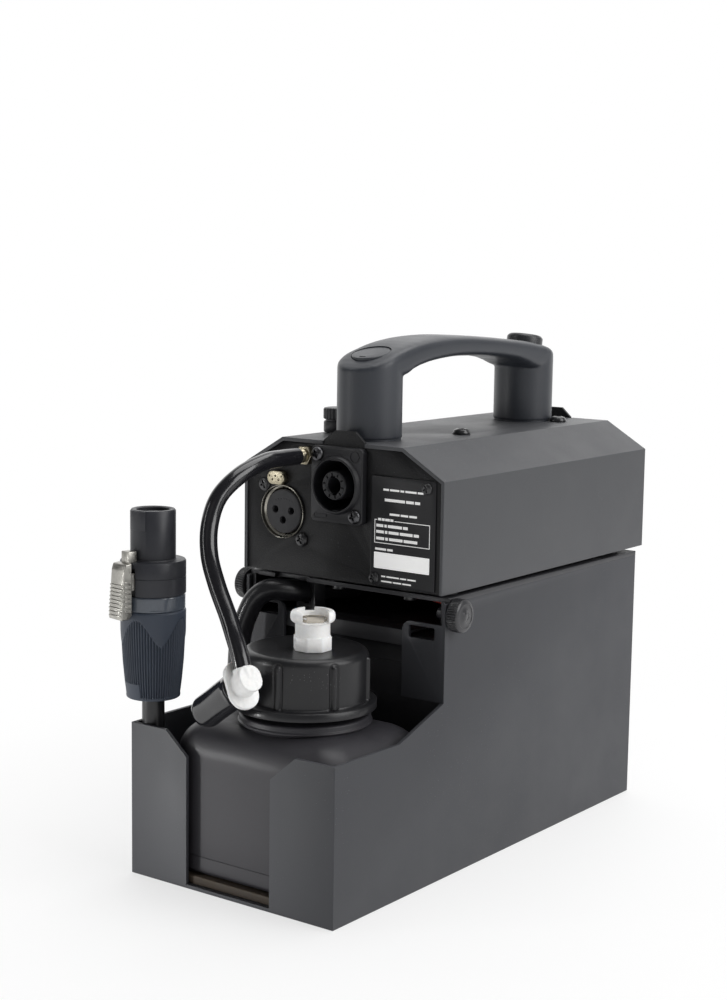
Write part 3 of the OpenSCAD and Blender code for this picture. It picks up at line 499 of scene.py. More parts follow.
MAT = {
    "case_paint": surface("case_paint", lin(57, 58, 62), 0.5, spec=0.4, grain=0.5, depth=0.04, mottle=0.04, specks=0.4, patch=30, painted_edge_light=0.15),
    "hood_paint": surface("hood_paint", lin(68, 69, 72), 0.48, spec=0.45, grain=0.55, depth=0.09, mottle=0.05, specks=1.2, patch=30, painted_edge_light=0.2),
    "panel_paint": surface("panel_paint", lin(19, 19, 21), 0.48, spec=0.32, grain=0.6, depth=0.16, mottle=0.05, specks=1.0, patch=25, painted_edge_light=0.25),
    "steel_zinc": surface("steel_zinc", (0.55, 0.56, 0.58), 0.35, metal=1, grain=0.3, depth=0.003),
    "screw_black": surface("screw_black", (0.018, 0.018, 0.02), 0.32, grain=0.3, depth=0.003, coat=0.3, painted_edge_light=0.2),
    "thumb_black": surface("thumb_black", (0.03, 0.03, 0.033), 0.28, grain=0.3, depth=0.003, painted_edge_light=0.3),
    "battery_plastic": surface("battery_plastic", (0.03, 0.03, 0.033), 0.5),
    "terminal_tin": surface("terminal_tin", (0.6, 0.58, 0.5), 0.35, metal=1, depth=0.003),
    "foam_black": surface("foam_black", (0.02, 0.02, 0.02), 0.9, grain=0.8, depth=0.2),
    "mat_brown": surface("mat_brown", (0.045, 0.032, 0.02), 0.7, grain=0.5, depth=0.05, mottle=0.2, patch=4),
    "bottle_black": surface("bottle_black", lin(51, 50, 54), 0.46, spec=0.4, grain=0.45, depth=0.03, mottle=0.06, patch=10),
    "cap_black": surface("cap_black", lin(31, 31, 33), 0.33, spec=0.4, grain=0.5, depth=0.012, mottle=0.06, specks=0.8, painted_edge_light=0.25),
    "seal_grey": surface("seal_grey", (0.3, 0.28, 0.24), 0.8, grain=0.6, depth=0.1),
    # painted glow: the white coupling gives off a little light of its own, lifting it out of the hood's shade
    "acetal_white": surface("acetal_white", (0.95, 0.95, 0.94), 0.34, grain=1.5, depth=0.01, mottle=0.02, patch=5, sub=0.25, glow=0.05),
    "elbow_white": surface("elbow_white", (0.82, 0.82, 0.81), 0.3, grain=1.5, depth=0.01, mottle=0.03, patch=5, sub=0.2),
    "latch_steel": surface("latch_steel", (0.5, 0.46, 0.4), 0.3, metal=1, depth=0.004),
    "tube_clear": surface("tube_clear", (0.75, 0.75, 0.7), 0.25, depth=0.004, sub=0.3),
    "filter_felt": surface("filter_felt", (0.6, 0.52, 0.35), 0.9, grain=0.4, depth=0.08),
    "vinyl_black": surface("vinyl_black", (0.010, 0.010, 0.012), 0.16, grain=2.5, depth=0.02, mottle=0.1, rough_var=0.05, coat=0.25, coat_rough=0.06),
    "cable_black": surface("cable_black", (0.014, 0.014, 0.016), 0.3, grain=1.2, depth=0.015, rough_var=0.07),
    "lead_red": surface("lead_red", (0.4, 0.03, 0.02), 0.4, depth=0.004),
    "plug_plastic": surface("plug_plastic", lin(56, 63, 75), 0.47, spec=0.4, grain=0.3, depth=0.012, mottle=0.06, patch=6, painted_edge_light=0.2),
    "plug_ring_grey": surface("plug_ring_grey", lin(76, 82, 91), 0.2, grain=1.0, depth=0.004, coat=0.3),
    "nickel": surface("nickel", (0.66, 0.65, 0.61), 0.27, metal=1, grain=0.7, depth=0.02, mottle=0.12, rough_var=0.1, patch=3),
    "brass_nickel": surface("brass_nickel", (0.42, 0.38, 0.28), 0.32, metal=1, grain=0.6, depth=0.02, mottle=0.15, rough_var=0.1, patch=2.5),
    "insert_grey": surface("insert_grey", lin(44, 44, 47), 0.45, spec=0.4, grain=0.5, depth=0.03, mottle=0.1, patch=3),
    "socket_black": surface("socket_black", lin(30, 30, 33), 0.42, spec=0.4, grain=0.45, depth=0.025, mottle=0.08, painted_edge_light=0.3),
    "label_black": surface("label_black", lin(23, 23, 26), 0.36, spec=0.35, grain=0.5, depth=0.006, mottle=0.05),
    # painted glow: the print and the sticker give off light of their own, making them brighter than their white alone
    "print_white": surface("print_white", (0.85, 0.85, 0.84), 0.5, grain=0.4, depth=0.004, mottle=0.03, glow=0.22),
    "sticker_white": surface("sticker_white", (0.93, 0.93, 0.92), 0.42, grain=1.2, depth=0.004, mottle=0.03, glow=0.3),
    "handle_plastic": surface("handle_plastic", lin(49, 52, 58), 0.4, grain=0.35, depth=0.01, mottle=0.05, patch=20),
    "button_plastic": surface("button_plastic", lin(50, 51, 54), 0.4, grain=0.4, depth=0.01),
    "knob_plastic": surface("knob_plastic", lin(42, 42, 45), 0.42, grain=0.4, depth=0.015),
    "knob_dark": surface("knob_dark", lin(34, 34, 36), 0.5, grain=0.4, depth=0.015),
    "board_green": surface("board_green", (0.02, 0.1, 0.035), 0.35, depth=0.004),
    "jacket_fibre": surface("jacket_fibre", (0.6, 0.55, 0.45), 0.95, grain=1.5, depth=0.25, mottle=0.2, patch=5),
    "heater_alu": surface("heater_alu", (0.45, 0.45, 0.46), 0.45, metal=1, grain=0.8, depth=0.03),
    "nozzle_steel": surface("nozzle_steel", (0.42, 0.42, 0.43), 0.3, metal=1, grain=0.5, depth=0.006, stretch=(1, 0.05, 1)),
    "ring_nickel": surface("ring_nickel", (0.5, 0.48, 0.42), 0.3, metal=1, grain=0.8, depth=0.004, mottle=0.1, patch=3),
    "screw_dark": surface("screw_dark", (0.10, 0.10, 0.105), 0.3, metal=1, grain=0.3, depth=0.003),
    "lever_nickel": surface("lever_nickel", (0.40, 0.39, 0.36), 0.34, metal=1, grain=0.6, depth=0.02, mottle=0.15, rough_var=0.08, patch=2.5),
    # the bay's tray and bar carry a strong painted edge highlight, standing in for thin lit edge lines
    "bay_dark": surface("bay_dark", lin(44, 44, 47), 0.45, spec=0.4, grain=0.6, depth=0.03, mottle=0.1, painted_edge_light=0.5),
    "plug_dark": surface("plug_dark", lin(43, 44, 49), 0.44, spec=0.4, grain=0.3, depth=0.012, mottle=0.06, patch=6, painted_edge_light=0.2),
    "socket_deep": surface("socket_deep", lin(24, 24, 26), 0.5, grain=0.5, depth=0.02),
}

# ------------------------------------------------------------------ cords

hose_pts = smooth_route(HOSE, 10)
hose = curve_tube("fluid_hose_finish", hose_pts, 3.5)
hose.data.materials.append(MAT["vinyl_black"])
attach(hose, BODY["fluid_hose"])
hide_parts("fluid_hose")

cable_pts = smooth_route(CABLE, 8)
cable = curve_tube("battery_cable_finish", cable_pts, 4.5)
cable.data.materials.append(MAT["cable_black"])
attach(cable, BODY["battery_cable"])
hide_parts("battery_cable")

# elbow: flange with two lobes, a boxy body, and the mouth that takes the hose
axis = (NOSE_B - NOSE_A).normalized()
elbow = along(prism("elbow", rrect(19.2, 12.6, 6.1, 10), 0, 1.9), NOSE_A - 2.0 * axis, NOSE_B)
body = along(prism("b", rrect(10.4, 9.4, 4.4, 10), -7.6, 0.2), NOSE_A - 1.8 * axis, NOSE_B)
elbow = combine(elbow, body)
mouth = Vector((9.1, -2.65, 93.5))
elbow = combine(elbow, along(lathe("m", [(0, 0.0), (3.9, 0.0), (4.1, 0.3), (4.2, 4.5), (0, 4.5)], 48), mouth, ELBOW_P))
elbow = combine(elbow, along(lathe("n", [(0, 0), (3.2, 0), (3.2, 15.6), (2.6, 16.4), (0, 16.4)], 48), NOSE_A - 1.2 * axis, NOSE_B))
remesh(elbow, 0.28, 7, 0.5)
place(elbow, "hose_elbow", MAT["elbow_white"], angle=60)

# cap over the elbow's nose: soft vinyl with a thin lip
h = (NOSE_B - NOSE_A).length
prof = [(3.4, 0.2), (6.6, 0.1), (6.95, 0.35), (6.95, 1.0), (6.6, 1.4)]
for i in range(1, 9):
    prof.append((6.62 + 0.06 * math.sin(i * 0.8), 1.4 + (h - 2.4) * i / 8))
for i in range(1, 15):
    a = PI / 2 * i / 14
    prof.append((6.66 * math.cos(a) if i < 14 else 0.0, h - 1.0 + 7.3 * math.sin(a)))
inner = [(0, 17.6), (2.8, 17.2), (3.4, 16.6)]
cap_shell = lathe("nose_cap", inner + prof, 96)
along(cap_shell, NOSE_A, NOSE_B)
place(cap_shell, "nose_cap", MAT["vinyl_black"], angle=50)

# ------------------------------------------------------------------ battery plug

PLUG = (-44.9, 6.2)


def wave(a):
    """Height of the border between the fluted and the plain part of the bushing, and whether a pad is under it."""
    q = math.degrees(a) - 282.0
    c = math.cos(math.radians(4 * q))
    s = 0.5 + 0.5 * c
    return 93.2 + 10.6 * s**0.8, q


def bush_r(a, r, z):
    if not 71.6 < z < 105.8:
        return r
    border, q = wave(a)
    pad = ((q + 45) % 180) < 48
    low = 77.5 if pad else 72.0
    edge_fade = min(1.0, max(0.0, (border - z) / 0.5)) * min(1.0, max(0.0, (z - low) / 0.5))
    if edge_fade <= 0:
        return r
    flute = 0.5 + 0.5 * math.cos(68 * a)
    return r - edge_fade * (0.16 + 0.62 * (1 - flute) ** 1.4)


outer = rounded([(10.6, 71.0), (11.5, 78), (12.25, 86), (12.9, 98), (13.0, 106.5)], 0.4, 2)


def bush_base(z):
    for (r0, z0), (r1, z1) in zip(outer, outer[1:]):
        if z0 <= z <= z1:
            return r0 + (r1 - r0) * (z - z0) / max(z1 - z0, 1e-6)
    return outer[-1][0]


zs = [71.35 + 0.36 * i for i in range(98)]
prof = [(4.6, 73.5), (4.6, 71.2), (4.9, 70.95), (9.6, 70.95), (10.3, 71.05)]
prof += [(bush_base(z), z) for z in zs if z < 106.2]
prof += [(12.75, 106.55), (4.6, 106.55)]
bushing = lathe("bushing", prof, 816, bush_r)
move(bushing, *PLUG, 1.7)
place(bushing, "plug_bushing", MAT["plug_plastic"], angle=70)

ring = lathe("ring", rounded([(4.6, 106.65), (12.45, 106.65), (12.75, 107.1), (12.75, 112.2), (12.5, 112.65), (4.6, 112.65)], 0.15, 2), 128)
cutters = []
for k in range(6):
    # shallow windows between the ring's bars
    c = move(block(-3.4, -0.5, 107.6, 3.4, 0.8, 111.7), 0, 13.0, 0)
    spin(c, 60 * k - 12)
    cutters.append(c)
cut(ring, *cutters)
soften(ring, 0.15, 2)
move(ring, *PLUG, 1.7)
place(ring, "plug_ring", MAT["plug_ring_grey"])

# collar, nose and key
prof = [(0, 112.75), (12.6, 112.75), (12.98, 113.1), (12.98, 119.6), (12.8, 119.75), (12.8, 119.9), (12.98, 120.05),
        (12.98, 125.7), (12.6, 126.25), (9.3, 126.3), (8.95, 126.7), (8.95, 145.5), (8.5, 146.15), (7.2, 146.2),
        (6.6, 145.8), (6.6, 131), (0, 131)]
pb = lathe("pb", prof, 160)
arc = [(9.3 * math.cos(math.radians(4 * i)), 9.3 * math.sin(math.radians(4 * i))) for i in range(-7, 8)]
key = prism("key", [(7.2 * math.cos(math.radians(28 * j)), 7.2 * math.sin(math.radians(28 * j))) for j in (1, -1)] + arc, 138.4, 146.0)
soften(key, 0.2, 2)
spin(key, -94)
pb = combine(pb, key)
ch1 = spin(block(11.3, -4.6, 110, 17.3, 4.6, 124), 260)
ch2 = spin(block(9.3, -2.8, 121, 17.3, 2.8, 129), 260)
cut(pb, ch1, ch2)
core = lathe("c", rounded([(2.6, 131), (5.2, 131), (5.2, 144.3), (4.8, 144.8), (2.6, 144.8)], 0.2, 2), 64)
pb = join(pb, core)
move(pb, *PLUG, 1.7)
place(pb, "plug_body", MAT["plug_dark"])

# latch: a lever of pressed nickel with cross ridges, and its pin beside the nose
profile = [(13.3, 105.7), (14.6, 104.2), (18.3, 104.1), (18.25, 107.0), (18.0, 110.0), (17.4, 118.0), (17.0, 123.6), (16.2, 125.9), (13.3, 126.2)]
profile = rounded(profile + [profile[0]], 0.5, 3)[:-1]
lever = prism("lever", profile, -4.25, 4.25)
shape(lever, Matrix.Rotation(PI / 2, 4, "X"))
soften(lever, 0.4, 3, 40)
for k in range(9):
    # ridges across the outer face, which carries the thumb
    z = 105.6 + 1.5 * k
    x = 18.25 - 0.075 * max(0.0, z - 108)
    lever = combine(lever, soften(block(x - 0.5, -3.9, z - 0.32, x + 0.42, 3.9, z + 0.32), 0.12, 2))
for k in range(7):
    # diagonal ridges on both flat sides
    for s in (-1, 1):
        z = 107.2 + 1.9 * k
        r_ = soften(block(-1.5, -0.24, -0.3, 1.5, 0.24, 0.3), 0.12, 2)
        shape(r_, Matrix.Translation((15.6, s * 4.3, z)) @ Matrix.Rotation(math.radians(-24), 4, "Y"))
        lever = combine(lever, r_)
lever = combine(lever, block(11.6, -4.2, 115.5, 14.0, 4.2, 122.2))
lever = combine(lever, soften(block(9.7, -2.4, 123.9, 13.6, 2.4, 130.5), 0.25, 2))
spin(lever, 260)
move(lever, *PLUG, 1.7)
place(lever, "plug_latch", MAT["lever_nickel"], angle=32)

# ------------------------------------------------------------------ folded sheet metal


def near(v, w, tol=0.06):
    return abs(v - w) < tol


def case_fold(a, b):
    # bottom bends along both sides, and the four upright corners
    side = near(abs(a.x), 51) and near(abs(b.x), 51)
    bottom = side and near(a.z, 0) and near(b.z, 0)
    upright = side and ((near(a.y, 0) and near(b.y, 0)) or (near(a.y, 227) and near(b.y, 227)))
    bay = side and near(a.y, 70.4) and near(b.y, 70.4) and min(a.z, b.z) > 72
    ends = near(a.z, 0) and near(b.z, 0) and ((near(a.y, 0) and near(b.y, 0)) or (near(a.y, 227) and near(b.y, 227)))
    return bottom or upright or bay or ends


def hood_fold(a, b):
    long = abs(a.y - b.y) > 60
    return long and abs(a.x - b.x) < 0.1 and a.z > 150 and (near(abs(a.x), 50.6, 0.1) or near(abs(a.x), 30.5, 0.1)) or (
        long and near(abs(a.x), 50.6, 0.1) and near(a.z, 115.8, 0.1))


refined("lower_case", MAT["case_paint"], 0.3, case_fold, 1.3)
refined("hood", MAT["hood_paint"], 0.3, hood_fold, 1.5)
refined("rear_panel", MAT["panel_paint"], 0.22)
refined("front_panel", MAT["panel_paint"], 0.22)
refined("chassis_tray", MAT["bay_dark"], 0.22)
refined("retainer_bar", MAT["bay_dark"], 0.25)
refined("chassis_screws", MAT["screw_black"], 0.12)
refined("bottle_mat", MAT["mat_brown"], 0.4)

# ------------------------------------------------------------------ bottle


def squircle(w, d, r, n=24):
    """Outline of a box w by d with edges rounded by r, with the same number of points whatever its size."""
    pts = []
    r = min(r, w / 2 - 0.01, d / 2 - 0.01)
    for cx_, cy_, a0 in ((1, 1, 0), (-1, 1, 90), (-1, -1, 180), (1, -1, 270)):
        for j in range(n):
            a = math.radians(a0 + 90 * j / (n - 1))
            pts.append((cx_ * (w / 2 - r) + r * math.cos(a), cy_ * (d / 2 - r) + r * math.sin(a)))
    return pts


def loft(name, sections):
    """sections: list of (outline points, z). Ends are closed flat."""
    bm = bmesh.new()
    rings = [[bm.verts.new((x, y, z)) for x, y in pts] for pts, z in sections]
    n = len(rings[0])
    for a, b in zip(rings, rings[1:]):
        for i in range(n):
            j = (i + 1) % n
            bm.faces.new((a[i], a[j], b[j], b[i]))
    bm.faces.new(rings[0][::-1])
    bm.faces.new(rings[-1])
    return from_bm(name, bm)


BX, BY = -36 + 84.5 / 2, 4.2 + 62.5 / 2
sections = []
bw, bd, br = 84.5, 62.5, 12.0


def section(inset, z, r=None):
    return (squircle(bw - 2 * inset, bd - 2 * inset, max((r or br) - inset * 0.6, 1.5)), z)


sections.append(section(4.0, 5.6))
sections.append(section(2.6, 5.05))
for i in range(1, 7):
    a = PI / 2 * i / 6
    sections.append(section(2.6 * (1 - math.sin(a)), 5.05 + 2.6 * (1 - math.cos(a))))
sections += [section(0.0, 9.0), section(0.0, 12.1), section(0.0, 12.35), section(0.28, 12.45), section(0.28, 12.75), section(0.02, 12.85), section(0.0, 13.1)]
sections += [section(0.0, z) for z in (20, 28, 36, 44, 50, 52.5)]
for i in range(1, 15):
    a = PI / 2 * i / 14
    sections.append(section(13.5 * (1 - math.cos(a)), 52.5 + 12.6 * math.sin(a)))
for inset, z in ((15.0, 65.45), (17.5, 65.8), (20.5, 66.05), (24, 66.2)):
    sections.append((squircle(bw - 2 * inset, bd - 2 * inset, 6.0), z))
bottle = loft("bottle", sections)
move(bottle, BX, BY, 0)
neck = lathe("neck", rounded([
    (0, 60), (20.6, 60), (22.2, 63.0), (26.6, 66.0), (26.6, 66.6), (26.1, 67.0), (26.0, 68.8), (25.4, 69.3), (19.0, 69.5), (19.0, 89.0), (0, 89.0)], 0.3, 3), 128)
neck = cut(neck, lathe("h", [(0, 59), (16.8, 59), (16.8, 93), (0, 93)], 96))
move(neck, 8.2, 36.5, 0)
inside = loft("inside", [(squircle(bw - 3.4, bd - 3.4, 10.6), 7.0), (squircle(bw - 3.4, bd - 3.4, 10.6), 52.5)]
              + [(squircle(bw - 3.4 - 2 * i_, bd - 3.4 - 2 * i_, max(10.6 - i_ * 0.6, 2)), z_) for i_, z_ in ((1.2, 57.5), (4, 61.5), (8, 63.6), (13, 64.4))])
move(inside, BX, BY, 0)
bottle = cut(bottle, inside)
hole = move(lathe("hole", [(0, 58), (16.8, 58), (16.8, 70), (0, 70)], 96), 8.2, 36.5, 0)
bottle = cut(bottle, hole)
bottle = combine(bottle, neck)
place(bottle, "bottle", MAT["bottle_black"], angle=40)


def cap_r(a, r, z):
    if r < 23.5 or not 75.4 < z < 95.2:
        return r
    q = (math.degrees(a) + 77) % (360 / 7)
    q = min(q, 360 / 7 - q) * PI / 180 * 24.9  # distance from the rib's axis along the wall
    top = 92.9
    t = math.hypot(q, max(0.0, z - (top - 1.6)) * 1.0)
    rib = 0.95 * max(0.0, 1 - (t / 1.1) ** 2) ** 0.5
    groove = 0.4 * math.exp(-(((t - 1.6) / 0.38) ** 2))
    return r + rib - groove


prof = [(19.1, 71.6), (27.9, 71.6), (28.2, 71.85), (28.2, 74.6), (27.9, 74.95), (25.5, 75.1), (24.95, 75.5)]
prof += [(24.9, 75.9 + 0.42 * i) for i in range(39)]
for i in range(1, 13):
    a = PI / 2 * i / 12
    prof.append((21.7 + 3.2 * math.cos(a), 92.0 + 3.0 * math.sin(a)))
prof += [(18.5, 95.12), (13.0, 95.15), (0, 95.15), (0, 91.9), (19.1, 91.9)]
cap = lathe("cap", prof, 700, cap_r)
cap = cut(cap, move(lathe("ch", [(0, 90), (5.3, 90), (5.3, 97), (0, 97)], 64), 5.2, -2.4, 0))
move(cap, 8.2, 36.5, 0)
place(cap, "bottle_cap", MAT["cap_black"], angle=50)

# coupling: eight-sided seat, barrel, and an open collar
seat_ = prism("seat", circle(7.75, 8, a0=PI / 8), 95.2, 100.8)
soften(seat_, 0.4, 2)
barrel = lathe("barrel", [
    (0, 96), (6.85, 96), (6.85, 105.7), (7.05, 106.0), (7.9, 106.35), (8.5, 106.9), (8.8, 107.7), (8.8, 109.0), (8.6, 109.8),
    (8.2, 110.4), (7.6, 110.65), (0, 110.65)], 128)
coupling = combine(seat_, barrel)
coupling = cut(coupling, lathe("bore", [(0, 98), (4, 98), (4, 118), (0, 118)], 64))
pocket = prism("pocket", circle(6.3, 96), 106.7, 116)
pocket = combine(pocket, block(3.5, -5.2, 106.7, 12, 5.2, 116))
spin(pocket, -42)
notch = spin(block(3, -2.1, 109, 12, 2.1, 115), 138)
cut(coupling, pocket, notch)
shaft = prism("hex", circle(7.6, 6), 88.6, 91.7)
shaft = combine(shaft, lathe("stub", [(0, 84), (5.15, 84), (5.15, 96.0), (0, 96.0)], 64))
shaft = combine(shaft, lathe("spigot", [(0, 77), (1.95, 77), (1.95, 85), (0, 85)], 32))
shaft = cut(shaft, lathe("pass", [(0, 76), (1.2, 76), (1.2, 97), (0, 97)], 24))
coupling = combine(coupling, shaft)
coupling = cut(coupling, lathe("pass2", [(0, 94), (1.2, 94), (1.2, 99), (0, 99)], 24))
soften(coupling, 0.22, 2, 40)
move(coupling, 13.4, 34.1, 0)
place(coupling, "coupling_body", MAT["acetal_white"])
refined("coupling_latch", MAT["latch_steel"], 0.12)

# ------------------------------------------------------------------ screws


def phillips(name, r, k, shank, length, dome=0.75):
    """A pan head screw along -Z, its seat at z = 0, with a cross recess."""
    prof = rounded([(0, -length), (shank, -length), (shank, -0.02), (r, -0.02), (r, k * 0.35), (r * 0.86, k * dome), (r * 0.5, k), (0, k)], 0.25, 3)
    o = lathe(name, prof, 48)
    for a in (20, 110):
        c = prism("x", rrect(r * 1.25, r * 0.27, r * 0.1, 3), k * 0.25, k + 1)
        spin(c, a)
        cut(o, c)
    c = lathe("p", [(0, k * 0.0), (r * 0.22, k * 0.35), (r * 0.3, k + 1), (0, k + 1)], 16)
    cut(o, c)
    return o


def screws(node, spots, r, k, shank, length, y, material):
    made = [toward_rear(phillips("s", r, k, shank, length), x, y, z) for x, z in spots]
    o = join(made[0], *made[1:]) if len(made) > 1 else made[0]
    soften(o, 0.06, 1, 45)
    return place(o, node, material)


screws("label_screws", [(42.8, 157.4), (17.8, 119.3)], 2.4, 1.25, 1.2, 5, 68.1, MAT["screw_black"])
s1 = toward_rear(phillips("s", 2.9, 1.1, 1.6, 9), -40, 68.9, 152.1)
s2 = toward_rear(phillips("s", 2.9, 1.5, 1.6, 9), -20, 68.9, 130.7)
place(soften(join(s1, s2), 0.06, 1, 45), "xlr_screws", MAT["screw_black"])
screws("socket_screws", [(-9.5, 167.4), (9.5, 143.4)], 2.9, 1.75, 1.6, 13, 65.6, MAT["screw_dark"])

parts = []
for y in (130.6, 211):
    o = lathe("t", rounded([(0, -7.1), (1.95, -7.1), (1.95, 0.0), (3.75, 0.0), (3.75, 0.9), (3.2, 1.95), (2.0, 2.45), (0, 2.5)], 0.3, 3), 64)
    cut(o, prism("x", circle(1.5, 6), 1.1, 4))
    o = join(o, prism("nut", circle(3.3, 6), -5.6, -3.1))
    parts.append(move(o, 17, y, 172.6))
place(soften(join(*parts), 0.08, 1, 45), "top_screws", MAT["screw_black"])

# ------------------------------------------------------------------ remote socket (3 pin)

RX, RZ = -30, 141.5
prof = [(9.7, 2.4), (9.7, 15.9), (9.9, 21.4), (10.75, 21.4), (10.75, 1.0), (11.15, 0.9), (11.25, 0.55), (11.22, 0.2), (11.08, 0.02), (10.92, 0.1), (10.82, 0.6), (10.6, 1.6), (9.75, 2.2)]
xs = lathe("xs", [(r, z) for r, z in prof], 128)
along_y(xs, RX, 68.4 - 0.6, RZ)
pocket = toward_rear(prism("pk", rrect(9.2, 5.8, 2.8), -30, 3), -32.2, 68, 155.6)
cut(xs, pocket)
place(xs, "xlr_shell", MAT["ring_nickel"])

ins = lathe("ins", rounded([(0, 0.45), (8.9, 0.45), (9.2, 0.75), (9.2, 15), (0, 15)], 0.15, 2), 96)
holes = []
for x, z in ((-34.2, 142.1), (-25.9, 142.0), (-30.2, 137.9)):
    holes.append(lathe("hh", [(0, -1), (1.75, -1), (1.6, 0.8), (1.3, 1.1), (1.3, 13), (0, 13)], 32))
    move(holes[-1], x - RX, -(z - RZ), 0)
cut(ins, *holes)
for a in range(-3, 4):
    # small marks moulded over the contacts, left blank
    b = soften(block(-0.42, -0.3, -0.12, 0.42, 0.3, 0.12), 0.05, 1)
    shape(b, Matrix.Translation((1.45 * a, -5.2 + 0.09 * a * a, 0.45)))
    ins = combine(ins, b)
kb = soften(block(-1.0, -8.3, 0.9, 1.0, -7.2, 8.0), 0.2, 2)
ins = combine(ins, kb)
rim = lathe("rim", [(7.0, 13.0), (9.6, 13.0), (9.6, 15), (7.0, 15)], 96)
ins = combine(ins, rim)
along_y(ins, RX, 68.4, RZ)
place(ins, "xlr_insert", MAT["insert_grey"])

tab = prism("tab", rrect(9.0, 5.6, 2.75, 8), 0, 5.8)
soften(tab, 0.35, 3)
for i in range(-2, 3):
    c = lathe("d", [(0, 5.2), (0.45, 5.35), (0.6, 6.5), (0, 6.5)], 16)
    move(c, 1.55 * i, 0.75 * (-1) ** i, 0)
    cut(tab, c)
toward_rear(tab, -32.2, 72.0, 155.6)
place(tab, "xlr_latch", MAT["brass_nickel"])

# ------------------------------------------------------------------ power socket

flange = prism("fl", rrect(26, 31, 2.2, 8), 0, 3.3)
soften(flange, 0.45, 3)
ringo = lathe("ro", rounded([(10.5, -1), (12.2, -1), (12.1, 3.5), (11.3, 5.1), (10.75, 5.3), (10.4, 5.0), (10.4, 3.2), (10.5, -1)][:-1], 0.2, 3), 128)
flange = cut(flange, lathe("hole", [(0, -2), (10.9, -2), (10.9, 5), (0, 5)], 128))
flange = combine(flange, ringo)
tube = lathe("tube", [(10.5, -26.0), (10.5, 1.0), (11.9, 0.5), (11.9, -26.0)], 128)
flange = combine(flange, tube)
back_ = lathe("back", [(0, -26), (11.8, -26), (11.8, -20.4), (0, -20.4)], 96)
flange = combine(flange, back_)
core = lathe("core", rounded([(0, -21), (6.0, -21), (6.0, 4.6), (5.6, 5.1), (3.6, 5.1), (3.2, 4.6), (3.2, -14.4), (0, -14.4)], 0.12, 2), 96)
for k in range(10):
    c = block(-0.35, 3.9, 4.5, 0.35, 5.3, 7)
    spin(c, 36 * k + 10)
    core = cut(core, c)
for k in (0, 180):
    c = block(-1.1, 2.4, -6, 1.1, 3.9, 7)
    spin(c, k + 8)
    core = cut(core, c)
# keys in the ring: a wide one above, two small ones
for ang, w, d in ((90, 6.0, 0.75), (-90, 3.0, 0.55), (0, 1.6, 0.7)):
    kx = soften(block(10.6 - d, -w / 2, -6, 11.1, w / 2, 3.8), 0.1, 1)
    spin(kx, ang)
    flange = combine(flange, kx)
for x, z in ((-9.5, 12.0), (9.5, -12.0)):
    cut(flange, move(lathe("sh", [(0, -1), (1.75, -1), (1.75, 5), (0, 5)], 32), x, z, 0))
mark = prism("mk", circle(2.35, 40, 9.2, 12.1), 3.05, 4)
mark = cut(mark, prism("mk2", circle(1.95, 40, 9.2, 12.1), 3.0, 4.1))
cut(flange, mark)
mark = prism("mk", rrect(6.6, 1.9, 0.9, 6, -8.0, -13.0), 3.05, 4)
mark = cut(mark, prism("mk2", rrect(6.0, 1.3, 0.6, 6, -8.0, -13.0), 3.0, 4.1))
cut(flange, mark)
flange = join(flange, core)
toward_rear(flange, 0, 68.9, 155.4)
place(flange, "power_socket", MAT["socket_black"])

# ------------------------------------------------------------------ hose fitting

fit = lathe("fit", [
    (1.1, -6.4), (2.3, -6.4), (2.75, -5.9), (2.95, -5.2), (2.5, -5.1), (2.7, -4.4), (2.95, -3.7), (2.5, -3.6), (2.6, -2.5),
    (3.0, -2.5), (3.0, 7.2), (1.9, 7.3), (1.9, 11), (1.1, 11)], 48)
nut = prism("nut", circle(4.15, 6), -2.6, 0.45)
soften(nut, 0.3, 3)
fit = combine(fit, cut(nut, lathe("b", [(0, -4), (2.4, -4), (2.4, 2), (0, 2)], 48)))
nut = prism("nut", circle(4.6, 6), 2.05, 4.4)
soften(nut, 0.25, 2)
fit = combine(fit, cut(nut, lathe("b", [(0, 1), (2.8, 1), (2.8, 6), (0, 6)], 48)))
along_y(fit, -17.5, 68.4, 166)
place(fit, "hose_fitting", MAT["brass_nickel"], angle=30)

# ------------------------------------------------------------------ rating plate

plate = prism("plate", rrect(31.4, 44.1, 0.9, 6, 31.3, 138.55), 0, 0.8)
soften(plate, 0.18, 2)
for x, z in ((42.8, 157.4), (17.8, 119.3)):
    cut(plate, move(lathe("sh", [(0, -1), (1.3, -1), (1.3, 3), (0, 3)], 32), x, z, 0))
toward_rear(plate, 0, 68.9, 0)
place(plate, "label_plate", MAT["label_black"])

bars = []


def bar(x0, z0, x1, z1, t=0.05, lift=0.0):
    bars.append(prism("bar", [(x0, z0), (x1, z0), (x1, z1), (x0, z1)], 0.78 + lift, 0.8 + t + lift))


def dashes(x0, x1, z, hgt, words, gap=0.55):
    """A line of plain bars that stands for a printed line."""
    total = sum(words)
    unit = (x1 - x0 - gap * (len(words) - 1)) / total
    x = x0
    for w in words:
        bar(x, z - hgt / 2, x + w * unit, z + hgt / 2)
        x += w * unit + gap


# title, a second line and a short one
dashes(21.7, 41.0, 155.4, 0.8, (3, 5, 2, 6, 3))
dashes(22.4, 39.5, 151.3, 1.1, (8, 3, 2))
dashes(24.9, 38.1, 145.7, 0.85, (4, 3, 3))
